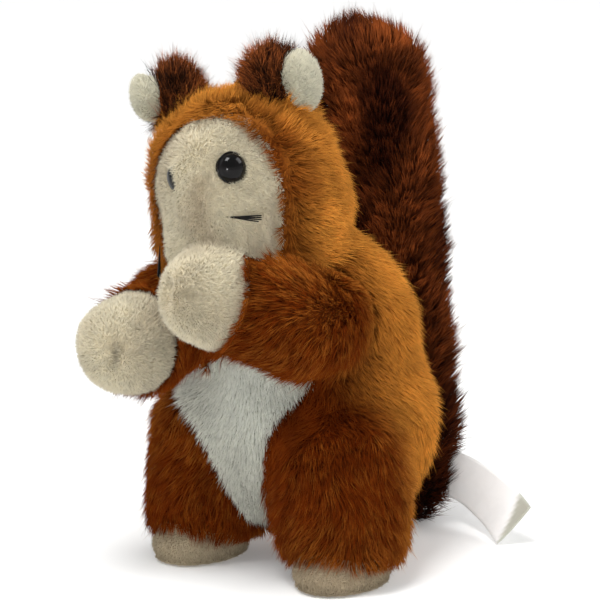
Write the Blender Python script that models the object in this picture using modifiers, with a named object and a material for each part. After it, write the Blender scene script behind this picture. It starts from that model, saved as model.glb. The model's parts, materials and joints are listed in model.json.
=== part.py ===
"""A stuffed plush squirrel that stands on two feet and on the base of its tail.

Each sewn piece is one closed solid that reaches out to the tips of its pile.
The toy faces -Y and its own left side is +X. Lengths are in millimetres, and
SCALE turns them into Blender's metres. Angles are in degrees.
"""

import math

import bmesh
import bpy
from mathutils import Euler, Matrix, Vector

SCALE = 0.001
GAP = 0.3  # clearance between two neighbouring pieces
EDGE_EXCESS = 1.4  # keeps the clearance at sharp edges too
LEFT, RIGHT = "left", "right"
SIGN = {LEFT: 1, RIGHT: -1}
BEYOND = 300  # further than any part of the toy

# Facet sizes of the stuffed forms, which are merged on a finer grid, eased and thinned.
COARSE, MEDIUM, FINE = 10.0, 8.0, 5.5
GRID_SHARE = 0.5
EASE_SHARE, EASE_ROUNDS = 0.5, 10
THINNED_SHARE = 0.2
SEAM_ANGLE = 50
BULGE_STEP = 7  # between two bulges along a limb
BULGE_FACETS = (32, 20)  # round each bulge and from pole to pole, before they merge
BUTTON_FACETS = (14, 8)  # the same for the hard eyes and nose

# Head: an egg of fur that turns and leans on the neck.
HEAD_CENTRE = Vector((-11, -18, 159))
HEAD_TURN = 11  # towards its own left
HEAD_NOD = 4  # forwards
HEAD_LEAN = 13  # towards its own right
HOOD_RADII = (40, 42, 37)
NAPE_CENTRE, NAPE_RADII = (2, 9, -19), (37, 36, 31)
JOWL_CENTRE, JOWL_RADII = (-3, -7, -20), (39, 32, 26)

# Face: short plush on a blunt snout, let into an arch in the fur.
FACE_CENTRE, FACE_RADII = (0, -4, 0), (35, 37, 30)
SNOUT_CENTRE, SNOUT_RADII = (0, -24, -12), (20, 21, 18)
CHEEK_CENTRES = ((12, -14, -20), (-17, -15, -22))
CHEEK_RADII = (18, 23, 17)
PANEL_HALF_WIDTH = 26
PANEL_CHIN_HALF_WIDTH = 20
PANEL_TOP = 25
PANEL_SPRING = -4  # where the arch starts
PANEL_BOTTOM = -44
PANEL_BACK = -12
PANEL_LEAN = -8  # the panel is sewn in more upright than the head is held
ARCH_STEPS = 14

EYE_RADIUS = 6.2
EYE_DOME = 3.6
EYE_CENTRE = (14, -34.5, 6)
EYE_TURN = 54
NOSE_CENTRE, NOSE_RADII = (0, -39, -25), (4.6, 3.4, 3.2)

# Whiskers: a bundle of stiff bristles on each cheek, from root to tips.
WHISKER_ROOT = {LEFT: (9.5, -39, -11.5), RIGHT: (-29.5, -26.5, -20)}
WHISKER_RUN = {LEFT: (12.5, 2, -3.2), RIGHT: (1, -8, -10)}
WHISKER_SPREAD = (0.6, 1.2)  # half widths at the root and at the tips
WHISKER_FLATNESS = 0.6
WHISKER_SIDES = 8

# Ears: middle of each, the way its lining faces, and its two halves.
EAR_CENTRE = {LEFT: (26, 2, 34), RIGHT: (-26, 2, 36.5)}
EAR_TURN = {LEFT: 90, RIGHT: 58}
PILE_CENTRE, PILE_RADII = (0, 5, 0), (15, 12.5, 15)
LINING_CENTRE = {LEFT: (0, -8, -3), RIGHT: (0, -8, 1)}
LINING_RADII = {LEFT: (14, 7, 14), RIGHT: (13.5, 7, 12)}

# Body: a pear, with a white bib that narrows down between the legs.
HIP_CENTRE, HIP_RADII = (0, 20, 57), (51, 46, 51)
CHEST_CENTRE, CHEST_RADII = (2, 14, 94), (44, 42, 42)
SHOULDER_CENTRE, SHOULDER_RADII = (0, 3, 121), (33, 34, 26)
# Its height, and how far it reaches to the right and to the left there.
BIB_ROWS = (
    (135, -25, 15),
    (112, -35, 25),
    (92, -44, 27),
    (78, -48, 18),
    (68, -46, 9),
    (60, -35, 4),
    (50, -26, 2),
    (34, -18, 0),
    (16, -10, -6.5),
)
BIB_BACK = -4

# Legs: hip and foot of each, with the radii of the pile round them.
HIP_JOINT = {LEFT: (29, -7, 50), RIGHT: (-40, 1, 52)}
THIGH_RADII = {LEFT: (28, 30, 26), RIGHT: (28, 28, 27)}
FOOT_JOINT = {LEFT: (31, -9, 17), RIGHT: (-38, -7, 17)}
SHIN_RADII = {LEFT: (29.5, 29.5, 19), RIGHT: (28, 27.5, 19)}
FRINGE_HEIGHT = 7  # the pile of a leg ends this far above the floor
PAD_CENTRE = {LEFT: (34, -14, 7), RIGHT: (-37, -12, 7)}
PAD_RADII = (21, 28, 11)

# Seam between a leg and the body: along the crotch, up over the thigh, and behind it.
CROTCH_X, CROTCH_HEIGHT = -5, 27
HIP_SEAM_BEND = (30, 62)  # out from the middle, and up
HIP_SEAM_TOP = 70
LEG_BACK = 34

# Arms: shoulder, elbow, wrist and middle of the paw, with the radius at each.
ARM_PATH = {
    LEFT: ((24, -16, 104), (24, -31, 106), (11, -44, 112.5), (1, -57, 117)),
    RIGHT: ((-32, 2, 112), (-37, -24, 103), (-39, -44, 93), (-39, -58, 94)),
}
ARM_RADII = (23, 24, 22, 21)
PAW_LENGTH = 8.5  # from the wrist seam to the middle of the paw

# Tail: a bolster from the floor to its tip, with the radii along it.
TAIL_PATH = (
    ((-2, 86, 17), (26, 18, 20)),
    ((1, 84, 38), (28, 20, 20)),
    ((1, 80, 70), (28, 20, 20)),
    ((0, 72, 110), (28, 20, 20)),
    ((1, 66, 150), (29, 20, 20)),
    ((-6, 61, 198), (30, 21, 21)),
)

# Sewn label: its middle line from the left side seam of the tail, how far its
# upper edge leans at each of those points in degrees, and which way it leans.
LABEL_PATH = ((19, 89.5, 22), (27.8, 88.6, 20.3), (39.5, 84.4, 17), (50.8, 79.5, 13.1), (62, 72.5, 8.4))
LABEL_LEANS = (0, 8, 20, 33, 44)
LABEL_BEARING = 35
LABEL_WIDTH = 21
LABEL_THICK = 0.6

# Colours of the piles and trims, linear, and how rough each kind of surface is.
GINGER = (0.30, 0.10, 0.02)
TAIL_BROWN = (0.07, 0.018, 0.006)
CREAM = (0.62, 0.53, 0.38)
WHITE = (0.66, 0.67, 0.62)
BLACK = (0.004, 0.004, 0.005)
LABEL = (0.70, 0.71, 0.68)
PILE_ROUGHNESS, PLASTIC_ROUGHNESS, RIBBON_ROUGHNESS = 0.85, 0.15, 0.6


def clear_scene():
    """Removes what the scene holds, so that only the toy is left."""
    for thing in list(bpy.data.objects):
        bpy.data.objects.remove(thing)


def new_collection(name, shown):
    """A collection of the scene, shown in a render or not."""
    made = bpy.data.collections.new(name)
    made.hide_render = not shown
    bpy.context.scene.collection.children.link(made)
    return made


def finish(name, colour, roughness):
    """A material of one colour."""
    made = bpy.data.materials.new(name)
    made.use_nodes = True
    shader = made.node_tree.nodes["Principled BSDF"]
    shader.inputs["Base Color"].default_value = (*colour, 1)
    shader.inputs["Roughness"].default_value = roughness
    return made


def turned(angle, axis):
    """A rotation of some degrees about one axis."""
    return Matrix.Rotation(math.radians(angle), 4, axis)


def bulge(centre, radii, frame=None, tilt=(0, 0, 0)):
    """The place of a unit ball stretched to radii at centre, in a frame."""
    turn = Euler([math.radians(t) for t in tilt]).to_matrix().to_4x4()
    place = Matrix.Translation(Vector(centre)) @ turn @ Matrix.Diagonal((*radii, 1))
    return (frame or Matrix.Identity(4)) @ place


def along_limb(stations):
    """Bulges along a limb, through stations of (centre, radii)."""
    found = []
    for (start, wide), (end, narrow) in zip(stations, stations[1:]):
        start, end, wide, narrow = (Vector(v) for v in (start, end, wide, narrow))
        count = max(1, round((end - start).length / BULGE_STEP))
        for i in range(count + 1):
            share = i / count
            found.append(bulge(start.lerp(end, share), wide.lerp(narrow, share)))
    return found


def add_ball(work, place, facets):
    """Adds a unit ball, moved to its place, to a bmesh."""
    around, up = facets
    bmesh.ops.create_uvsphere(work, u_segments=around, v_segments=up, radius=1, matrix=place)


def separate_bodies(work):
    """The groups of connected points of a bmesh."""
    unseen = set(work.verts)
    while unseen:
        body, edge = set(), [unseen.pop()]
        while edge:
            vertex = edge.pop()
            body.add(vertex)
            near = {e.other_vert(vertex) for e in vertex.link_edges} & unseen
            unseen -= near
            edge.extend(near)
        yield body


def body_size(body):
    """The surface of a group of points, as far as faces belong to it."""
    return sum(face.calc_area() for face in {f for v in body for f in v.link_faces})


def applied_mesh(thing):
    """A copy of an object's mesh with its modifiers applied."""
    graph = bpy.context.evaluated_depsgraph_get()
    return bpy.data.meshes.new_from_object(thing.evaluated_get(graph), depsgraph=graph)


def settle(thing):
    """Applies the modifiers and keeps the largest body, smooth but for its seams."""
    mesh = applied_mesh(thing)
    thing.modifiers.clear()
    work = bmesh.new()
    work.from_mesh(mesh)
    kept = max(separate_bodies(work), key=body_size)
    crumbs = [v for v in work.verts if v not in kept]
    bmesh.ops.delete(work, geom=crumbs, context="VERTS")
    work.to_mesh(mesh)
    work.free()
    mesh.shade_smooth()
    mesh.set_sharp_from_angle(angle=math.radians(SEAM_ANGLE))
    old, thing.data = thing.data, mesh
    bpy.data.meshes.remove(old)
    return thing


class Workshop:
    """Holds the pieces and the helper solids, and cuts the ones with the others."""

    def __init__(self):
        self.toy = new_collection("plush_squirrel", shown=True)
        self.tools = new_collection("cutters", shown=False)

    def piece(self, work, name):
        """A new piece of the toy from a bmesh in millimetres."""
        made = bpy.data.objects.new(name, self.mesh(work, name))
        self.toy.objects.link(made)
        return made

    def tool(self, mesh, name):
        """A helper solid that no render shows."""
        made = bpy.data.objects.new(name, mesh)
        made.display_type = "WIRE"
        made.hide_render = True
        self.tools.objects.link(made)
        return made

    def mesh(self, work, name):
        """A mesh in metres from a bmesh in millimetres."""
        bmesh.ops.transform(work, matrix=Matrix.Scale(SCALE, 4), verts=work.verts)
        made = bpy.data.meshes.new(name)
        work.to_mesh(made)
        work.free()
        return made

    def button(self, name, place):
        """A hard piece that is one stretched ball."""
        work = bmesh.new()
        add_ball(work, place, BUTTON_FACETS)
        return settle(self.piece(work, name))

    def stuffed(self, name, bulges, facet):
        """One closed form: bulges merged on a grid and eased into each other."""
        work = bmesh.new()
        for place in bulges:
            add_ball(work, place, BULGE_FACETS)
        form = self.piece(work, name)
        merge = form.modifiers.new("merge", "REMESH")
        merge.mode = "VOXEL"
        merge.voxel_size = facet * GRID_SHARE * SCALE
        ease = form.modifiers.new("ease", "SMOOTH")
        ease.factor = EASE_SHARE
        ease.iterations = EASE_ROUNDS
        thin = form.modifiers.new("thin", "DECIMATE")
        thin.ratio = THINNED_SHARE
        return settle(form)

    def prism(self, name, outline, near, far, frame=None):
        """A helper block: an outline in X and Z that runs from near to far along Y."""
        work = bmesh.new()
        ring = [work.verts.new((x, near, z)) for x, z in outline]
        made = bmesh.ops.extrude_face_region(work, geom=[work.faces.new(ring)])
        moved = [v for v in made["geom"] if isinstance(v, bmesh.types.BMVert)]
        bmesh.ops.translate(work, verts=moved, vec=(0, far - near, 0))
        bmesh.ops.recalc_face_normals(work, faces=work.faces)
        place = frame or Matrix.Identity(4)
        bmesh.ops.transform(work, matrix=place, verts=work.verts)
        return self.tool(self.mesh(work, name), name)

    def copy(self, thing, name):
        """A second piece of the same shape."""
        made = bpy.data.objects.new(name, thing.data.copy())
        self.toy.objects.link(made)
        return made

    def above(self, name, height):
        """A helper block of all that lies above a height."""
        outline = box_outline(BEYOND, height, height + BEYOND)
        return self.prism(name, outline, -BEYOND, BEYOND)

    def grown(self, thing):
        """A helper copy of a piece whose surface stands out by the clearance."""
        made = self.tool(applied_mesh(thing), thing.name + "_grown")
        swell = made.modifiers.new("clearance", "DISPLACE")
        swell.strength = GAP * EDGE_EXCESS * SCALE
        swell.mid_level = 0
        return made

    def combine(self, thing, operation, *tools):
        """Exact Boolean steps with helpers, applied."""
        for tool in tools:
            step = thing.modifiers.new(operation.lower(), "BOOLEAN")
            step.operation = operation
            step.solver = "EXACT"
            step.object = tool
        return settle(thing)

    def cut(self, thing, *tools):
        """Removes what lies inside the helpers."""
        return self.combine(thing, "DIFFERENCE", *tools)

    def keep(self, thing, *tools):
        """Keeps what lies inside the helpers."""
        return self.combine(thing, "INTERSECT", *tools)

    def make_room(self, thing, *neighbours):
        """Cuts a piece back from its neighbours, with the clearance."""
        exact = [self.tool(applied_mesh(n), n.name + "_exact") for n in neighbours]
        return self.cut(thing, *(self.grown(n) for n in neighbours), *exact)


def box_outline(half_width, low, high):
    """The outline of a rectangle for a prism."""
    return [(-half_width, low), (half_width, low), (half_width, high), (-half_width, high)]


def head_frame():
    """The head's frame: its middle, with the face towards -Y."""
    pose = turned(HEAD_TURN, "Z") @ turned(-HEAD_LEAN, "Y") @ turned(HEAD_NOD, "X")
    return Matrix.Translation(HEAD_CENTRE) @ pose


def panel_outline(ease):
    """The face panel's outline, moved out by ease."""
    half, chin = PANEL_HALF_WIDTH + ease, PANEL_CHIN_HALF_WIDTH + ease
    rise = PANEL_TOP + ease - PANEL_SPRING
    angles = (math.pi * i / ARCH_STEPS for i in range(ARCH_STEPS + 1))
    arch = [(half * math.cos(a), PANEL_SPRING + rise * math.sin(a)) for a in angles]
    return [(-chin, PANEL_BOTTOM), (chin, PANEL_BOTTOM), *arch]


def bib_outline(ease):
    """The belly panel's outline, moved out by ease."""
    left_edge = [(left + ease, z) for z, _, left in BIB_ROWS]
    right_edge = [(right - ease, z) for z, right, _ in BIB_ROWS]
    return left_edge + right_edge[::-1]


def make_head(shop, frame):
    """The fur hood, with the short-piled face let into its front."""
    hood = [
        bulge((0, 0, 0), HOOD_RADII, frame),
        bulge(NAPE_CENTRE, NAPE_RADII, frame),
        bulge(JOWL_CENTRE, JOWL_RADII, frame),
    ]
    mask = [
        bulge(FACE_CENTRE, FACE_RADII, frame),
        bulge(SNOUT_CENTRE, SNOUT_RADII, frame),
        *(bulge(centre, CHEEK_RADII, frame) for centre in CHEEK_CENTRES),
    ]
    head = shop.stuffed("head", hood, COARSE)
    face = shop.stuffed("face", mask, MEDIUM)
    sewn = frame @ turned(-PANEL_LEAN, "Y")
    panel = shop.prism("panel", panel_outline(0), -BEYOND, PANEL_BACK, sewn)
    pocket = shop.prism("pocket", panel_outline(GAP), -BEYOND, PANEL_BACK + GAP, sewn)
    shop.keep(face, panel)
    shop.cut(head, pocket)
    return head, face


def make_eye(shop, side, frame):
    """A glossy domed eye that sits in the pile."""
    sign = SIGN[side]
    centre = (sign * EYE_CENTRE[0], EYE_CENTRE[1], EYE_CENTRE[2])
    radii = (EYE_RADIUS, EYE_DOME, EYE_RADIUS)
    return shop.button("eye_" + side, bulge(centre, radii, frame, (0, 0, sign * EYE_TURN)))


def make_whiskers(shop, side, frame):
    """A flat bundle of bristles that fans out a little from its root."""
    root, run = Vector(WHISKER_ROOT[side]), Vector(WHISKER_RUN[side])
    aim = run.to_track_quat("Z", "Y").to_matrix().to_4x4()
    flat = Matrix.Diagonal((1, WHISKER_FLATNESS, 1, 1))
    work = bmesh.new()
    bmesh.ops.create_cone(
        work,
        segments=WHISKER_SIDES,
        cap_ends=True,
        radius1=WHISKER_SPREAD[0],
        radius2=WHISKER_SPREAD[1],
        depth=run.length,
        matrix=frame @ Matrix.Translation(root + run / 2) @ aim @ flat,
    )
    return settle(shop.piece(work, "whiskers_" + side))


def make_ear(shop, side, frame):
    """An ear: long pile on its back and short lining on its open side."""
    middle = Matrix.Translation(EAR_CENTRE[side])
    ear = frame @ middle @ turned(SIGN[side] * EAR_TURN[side], "Z")
    back = bulge(PILE_CENTRE, PILE_RADII, ear)
    inner = bulge(LINING_CENTRE[side], LINING_RADII[side], ear)
    pile = shop.stuffed("ear_pile_" + side, [back], FINE)
    lining = shop.stuffed("ear_lining_" + side, [inner], FINE)
    return shop.make_room(pile, lining), lining


def thigh_outline(side, ease):
    """Where one leg is sewn to the body, seen from the front, moved out by ease."""
    sign = SIGN[side]
    inner, outer = CROTCH_X + sign * (GAP / 2 - ease), sign * BEYOND
    bend = HIP_SEAM_BEND[0] * sign, HIP_SEAM_BEND[1] + ease
    top = HIP_SEAM_TOP + ease
    return [(inner, -BEYOND), (inner, CROTCH_HEIGHT + ease), bend, (outer, top), (outer, -BEYOND)]


def make_body(shop):
    """The body and legs, modelled as one stuffed form and parted at the seams."""
    form = [
        bulge(HIP_CENTRE, HIP_RADII),
        bulge(CHEST_CENTRE, CHEST_RADII),
        bulge(SHOULDER_CENTRE, SHOULDER_RADII),
    ]
    for side in SIGN:
        thigh, shin = THIGH_RADII[side], SHIN_RADII[side]
        form += along_limb([(HIP_JOINT[side], thigh), (FOOT_JOINT[side], shin)])
    trunk = shop.stuffed("trunk", form, COARSE)
    shop.keep(trunk, shop.above("fringe", FRINGE_HEIGHT))
    belly = shop.copy(trunk, "belly")
    shop.keep(belly, shop.prism("bib", bib_outline(0), -BEYOND, BIB_BACK))
    shop.cut(trunk, shop.prism("bib_pocket", bib_outline(GAP), -BEYOND, BIB_BACK + GAP))
    legs = []
    for side in SIGN:
        leg = shop.copy(trunk, "leg_" + side)
        region = thigh_outline(side, 0), thigh_outline(side, GAP)
        shop.keep(leg, shop.prism(leg.name + "_seam", region[0], -BEYOND, LEG_BACK))
        legs.append(leg)
        pocket = shop.prism(leg.name + "_pocket", region[1], -BEYOND, LEG_BACK + GAP)
        shop.cut(trunk, pocket)
    return trunk, belly, legs


def make_foot(shop, side):
    """The cream sole of a foot."""
    foot = shop.stuffed("foot_" + side, [bulge(PAD_CENTRE[side], PAD_RADII)], MEDIUM)
    return shop.keep(foot, shop.above(foot.name + "_sole", 0))


def make_arm(shop, side):
    """An arm and its cream paw, parted at the wrist seam."""
    joints = [Vector(point) for point in ARM_PATH[side]]
    limb = along_limb([(point, (r, r, r)) for point, r in zip(joints, ARM_RADII)])
    arm = shop.stuffed("arm_" + side, limb, MEDIUM)
    paw = shop.stuffed("paw_" + side, limb, MEDIUM)
    forward = (joints[3] - joints[2]).normalized()
    wrist = forward.to_track_quat("Y", "Z").to_matrix().to_4x4()
    wrist.translation = joints[3] - forward * PAW_LENGTH
    square = box_outline(BEYOND, -BEYOND, BEYOND)
    shop.cut(arm, shop.prism(arm.name + "_end", square, -GAP / 2, BEYOND, wrist))
    shop.keep(paw, shop.prism(paw.name + "_end", square, GAP / 2, BEYOND, wrist))
    return arm, paw


def make_tail(shop):
    """The tail: a tall bolster behind the back that also stands on the floor."""
    tail = shop.stuffed("tail", along_limb(TAIL_PATH), COARSE)
    return shop.keep(tail, shop.above("tail_foot", 0))


def make_label(shop):
    """A blank sewn label that twists as it hangs from the tail's side seam."""
    bearing = math.radians(LABEL_BEARING)
    outward = Vector((math.cos(bearing), math.sin(bearing), 0))
    work = bmesh.new()
    rows = []
    for half in (-LABEL_WIDTH / 2, LABEL_WIDTH / 2):
        row = []
        for point, lean in zip(LABEL_PATH, LABEL_LEANS):
            lean = math.radians(lean)
            across = outward * math.sin(lean) + Vector((0, 0, math.cos(lean)))
            row.append(work.verts.new(Vector(point) + across * half))
        rows.append(row)
    for low, high in zip(zip(rows[0], rows[0][1:]), zip(rows[1], rows[1][1:])):
        work.faces.new((low[0], low[1], high[1], high[0]))
    label = shop.piece(work, "label")
    curl = label.modifiers.new("curl", "SUBSURF")
    curl.levels = curl.render_levels = 1
    curl.boundary_smooth = "PRESERVE_CORNERS"
    cloth = label.modifiers.new("cloth", "SOLIDIFY")
    cloth.thickness = LABEL_THICK * SCALE
    cloth.offset = 0
    return settle(label)


def set_origin(pieces):
    """Moves the toy so that its origin is under the middle of its box."""
    corners = [piece.matrix_world @ v.co for piece in pieces for v in piece.data.vertices]
    low = Vector([min(c[i] for c in corners) for i in range(3)])
    high = Vector([max(c[i] for c in corners) for i in range(3)])
    origin = bpy.data.objects.new("toy_origin", None)
    bpy.context.scene.collection.objects.link(origin)
    origin.location = (-(low.x + high.x) / 2, -(low.y + high.y) / 2, -low.z)
    for piece in pieces:
        piece.parent = origin


def main():
    """Builds the toy."""
    clear_scene()
    shop = Workshop()
    frame = head_frame()
    ginger = finish("ginger pile", GINGER, PILE_ROUGHNESS)
    dark = finish("dark pile", TAIL_BROWN, PILE_ROUGHNESS)
    cream = finish("cream plush", CREAM, PILE_ROUGHNESS)
    white = finish("white belly pile", WHITE, PILE_ROUGHNESS)
    black = finish("black plastic", BLACK, PLASTIC_ROUGHNESS)
    ribbon = finish("label ribbon", LABEL, RIBBON_ROUGHNESS)

    head, face = make_head(shop, frame)
    trunk, belly, legs = make_body(shop)
    tail, label = make_tail(shop), make_label(shop)
    nose = shop.button("nose", bulge(NOSE_CENTRE, NOSE_RADII, frame))
    eyes = [make_eye(shop, side, frame) for side in SIGN]
    whiskers = [make_whiskers(shop, side, frame) for side in SIGN]
    feet = [make_foot(shop, side) for side in SIGN]
    arms, paws = zip(*(make_arm(shop, side) for side in SIGN))
    ears, linings = zip(*(make_ear(shop, side, frame) for side in SIGN))

    # Where two pieces press on each other, the one further in gives way.
    heads = (head, face)
    shop.make_room(trunk, *heads, *arms, *paws, *feet)
    shop.make_room(belly, *heads, *arms, *paws, *feet)
    for leg in legs:
        shop.make_room(leg, *arms, *feet)
    for limb in (*arms, *paws):
        shop.make_room(limb, *heads, nose, *whiskers)
    shop.make_room(tail, trunk, head, label, *legs)
    shop.make_room(head, *ears, *linings, *whiskers)
    shop.make_room(face, nose, *eyes, *whiskers)

    dressed = {
        ginger: (head, trunk, *legs, *arms),
        dark: (tail, *ears),
        cream: (face, *feet, *paws, *linings),
        white: (belly,),
        black: (nose, *eyes, *whiskers),
        ribbon: (label,),
    }
    for material, pieces in dressed.items():
        for piece in pieces:
            piece.data.materials.clear()
            piece.data.materials.append(material)
    set_origin([piece for pieces in dressed.values() for piece in pieces])


main()
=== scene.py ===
"""Looks of a stuffed plush squirrel: skins, pile in tufts, eyes, nose, whiskers, label and studio.

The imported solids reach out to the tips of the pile. Here one eased form is laid inside them, as
deep as each pile is long, and parted along the solids' own seams into closed, stuffed skins. Tufts
then grow from the skins and reach back out to the solids.

Lengths are in millimetres and angles in degrees unless a name says otherwise. The toy stands on
z = 0 and faces -Y, and its own left is +X.
"""

import json
import logging
import math
from collections.abc import Callable, Sequence
from dataclasses import dataclass, field, replace
from enum import Enum

import bmesh
import bpy
import numpy as np
from mathutils import Matrix, Vector
from mathutils.bvhtree import BVHTree
from mathutils.kdtree import KDTree

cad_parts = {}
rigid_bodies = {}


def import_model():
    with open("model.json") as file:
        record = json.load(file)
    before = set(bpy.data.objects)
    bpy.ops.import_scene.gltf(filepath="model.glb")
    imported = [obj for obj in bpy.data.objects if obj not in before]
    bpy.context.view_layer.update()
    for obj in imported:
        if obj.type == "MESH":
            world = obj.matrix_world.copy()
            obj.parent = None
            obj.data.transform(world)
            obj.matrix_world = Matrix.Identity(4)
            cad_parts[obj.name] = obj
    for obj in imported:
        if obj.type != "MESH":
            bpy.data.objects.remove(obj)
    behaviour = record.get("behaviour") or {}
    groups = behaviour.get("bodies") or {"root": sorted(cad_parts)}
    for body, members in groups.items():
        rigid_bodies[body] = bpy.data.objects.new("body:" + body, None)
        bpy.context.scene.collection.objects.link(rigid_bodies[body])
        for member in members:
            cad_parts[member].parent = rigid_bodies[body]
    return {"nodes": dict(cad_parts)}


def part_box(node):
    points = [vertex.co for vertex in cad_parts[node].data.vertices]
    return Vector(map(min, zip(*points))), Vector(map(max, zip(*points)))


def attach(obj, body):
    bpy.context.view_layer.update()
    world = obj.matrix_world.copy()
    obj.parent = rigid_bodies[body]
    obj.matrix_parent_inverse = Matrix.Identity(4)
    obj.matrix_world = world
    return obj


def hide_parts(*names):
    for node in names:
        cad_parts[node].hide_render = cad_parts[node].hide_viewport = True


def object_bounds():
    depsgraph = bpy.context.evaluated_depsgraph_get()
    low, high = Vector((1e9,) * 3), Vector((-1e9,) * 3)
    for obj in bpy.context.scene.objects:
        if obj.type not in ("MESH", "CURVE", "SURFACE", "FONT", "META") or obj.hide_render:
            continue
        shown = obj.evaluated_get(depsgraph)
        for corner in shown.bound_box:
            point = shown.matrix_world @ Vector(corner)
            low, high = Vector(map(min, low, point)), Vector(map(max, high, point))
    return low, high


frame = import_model()
CAD_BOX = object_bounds()

log = logging.getLogger("plush_squirrel")

MM = 0.001
WELD = 1e-6  # metres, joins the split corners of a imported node
SEED = 20
TINY = 1e-9
FAR = 200.0  # a distance that is outside the toy from anywhere in it

PATCH = 0.003  # width of a tuft's patch on the unwrap
UNWRAP_EDGES = (0.002, 0.996)  # between which patches start, so that none leaves the unwrap
SUNK = 0.5  # how far a root starts under the skin
KNEE = 0.42  # where a tuft bends, as a share of its length
KNEE_GATHER = 0.35  # how far its bend follows its tip into a clump
LENGTHS = (0.62, 1.12)  # of the shortest and the longest tuft, as shares of the pile's
GIRTHS = (0.7, 1.3)  # of the thinnest and the thickest one
GATHERS = (0.5, 1.3)  # of the loosest and the tightest one
STREAK = 0.22  # how much the corners of one tuft differ in shade
GUARD_LENGTH, GUARD_WIDTH = 1.25, 0.7  # of a guard hair, as shares of a tuft's
HEM_FRAY = 1.4  # how uneven a hem is
HEM_SPREAD = 0.5  # how far a hem pushes pile outwards for each millimetre that it lifts it
HEM_MOST = 3.0  # the lift up to which it does
BROAD_SWIRLS, FINE_SWIRLS = 16.0, 7.0  # sizes of the swirls in a pile's lie
FINE_SHARE = 0.6  # how strong the fine ones are
MOST_TRIANGLES = 185_000  # in one coat piece
SEAM_PLAY = 0.1  # how far a cut reaches past the solid that it follows
SEAM_EDGE, EYE_EDGE = 50.0, 40.0  # angles over which an edge is sharp
UNWRAP_ANGLE, UNWRAP_MARGIN = 66.0, 0.002

Points = np.ndarray  # rows of x, y, z
Colour = tuple[float, float, float]
Place = tuple[float, float, float]
Span = tuple[float, float]  # where something starts and where it is complete
Socket = bpy.types.NodeSocket
Lie = Callable[[Points], Points]  # positions to directions
# Fading, and on some pieces painted highlights and painted shade, as shares.
WearAndPaintedLight = Callable[[Points], np.ndarray]  # positions to shares of fading


class Side(Enum):
    """The toy's own left and right."""

    LEFT = "left"
    RIGHT = "right"

    @property
    def sign(self) -> int:
        """+1 on the left, which is +X, and -1 on the right."""
        return 1 if self is Side.LEFT else -1


class Swirl(Enum):
    """The smooth random fields that uneven things follow."""

    LIE = 1
    FINE_LIE = 2
    STUFFING = 3
    PILE_DYE = 5
    PLUSH_DYE = 6
    FRINGE = 9


SWIRL_WAVES = 6  # sine waves in one field
SWIRL_TURNS = (1.6, 3.4)  # how far the slowest and the quickest turn over its pitch, in radians


# ---- Small numeric helpers ----


def unit(vectors: Points) -> Points:
    """Rows scaled to length one."""
    return vectors / np.maximum(np.linalg.norm(vectors, axis=-1, keepdims=True), TINY)


def along_surface(vectors: Points, normals: Points) -> Points:
    """Rows without their part along the normals, scaled to length one."""
    return unit(vectors - normals * np.sum(vectors * normals, axis=1, keepdims=True))


def eased(values: np.ndarray, low: float, high: float) -> np.ndarray:
    """A smooth step from 0 at low to 1 at high; low may be the larger one.

    Args:
        values: The numbers to map.
        low: Where the step starts.
        high: Where the step ends.

    Returns:
        Numbers from 0 to 1.
    """
    share = np.clip((values - low) / (high - low), 0, 1)
    return share * share * (3 - 2 * share)


def centre_of(node: str) -> Points:
    """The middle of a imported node's box."""
    low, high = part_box(node)
    return np.array((low + high) / 2) / MM


def swirl(points: Points, pitch: float, kind: Swirl) -> np.ndarray:
    """A smooth field of about -1 to 1 that changes over a distance of pitch.

    Args:
        points: Where it is read.
        pitch: The rough size of its patches.
        kind: Which of the fields.

    Returns:
        One number for each point.
    """
    waves = np.zeros(len(points))
    rng = np.random.default_rng(kind.value * 1000 + SEED)
    for _ in range(SWIRL_WAVES):
        heading = unit(rng.normal(size=3)) / pitch * rng.uniform(*SWIRL_TURNS)
        waves += np.sin(points @ heading + rng.uniform(0, 2 * math.pi))
    return waves / (SWIRL_WAVES / 2)


def eased_line(places: np.ndarray, steps: np.ndarray, values: np.ndarray) -> np.ndarray:
    """Values between given ones, without kinks.

    Args:
        places: Where the values are wanted.
        steps: Where they are given, in rising order.
        values: The values given there.

    Returns:
        The values at the places.
    """
    slopes = np.gradient(values, steps)
    i = np.clip(np.searchsorted(steps, places, side="right") - 1, 0, len(steps) - 2)
    width = steps[i + 1] - steps[i]
    t = (places - steps[i]) / width
    return (
        (1 + 2 * t) * (1 - t) ** 2 * values[i]
        + t * (1 - t) ** 2 * width * slopes[i]
        + t**2 * (3 - 2 * t) * values[i + 1]
        + t**2 * (t - 1) * width * slopes[i + 1]
    )


def line_distance(points: Points, line: Points) -> np.ndarray:
    """How far points are from a polyline.

    Args:
        points: Rows of positions.
        line: The corners of the polyline.

    Returns:
        The distance of each point.
    """
    found = np.full(len(points), np.inf)
    for start, end in zip(line, line[1:]):
        run = end - start
        share = np.clip((points - start) @ run / max(run @ run, TINY), 0, 1)
        found = np.minimum(found, np.linalg.norm(points - start - share[:, None] * run, axis=1))
    return found


def node_tree(node: str) -> BVHTree:
    """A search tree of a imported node's surface, in millimetres."""
    mesh = frame["nodes"][node].data
    return search_tree(mesh_points(mesh), mesh_triangles(mesh)[0])


def search_tree(points: Points, triangles: np.ndarray) -> BVHTree:
    """A search tree of a surface of triangles."""
    return BVHTree.FromPolygons(points.tolist(), triangles.tolist(), all_triangles=True)


def surface_towards(node: str, direction: Points) -> Points:
    """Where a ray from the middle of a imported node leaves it.

    Args:
        node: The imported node's name.
        direction: Of the ray.

    Returns:
        The place on the node's surface.
    """
    outside = centre_of(node) + direction * FAR
    return np.array(node_tree(node).ray_cast(outside, -direction)[0])


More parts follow.
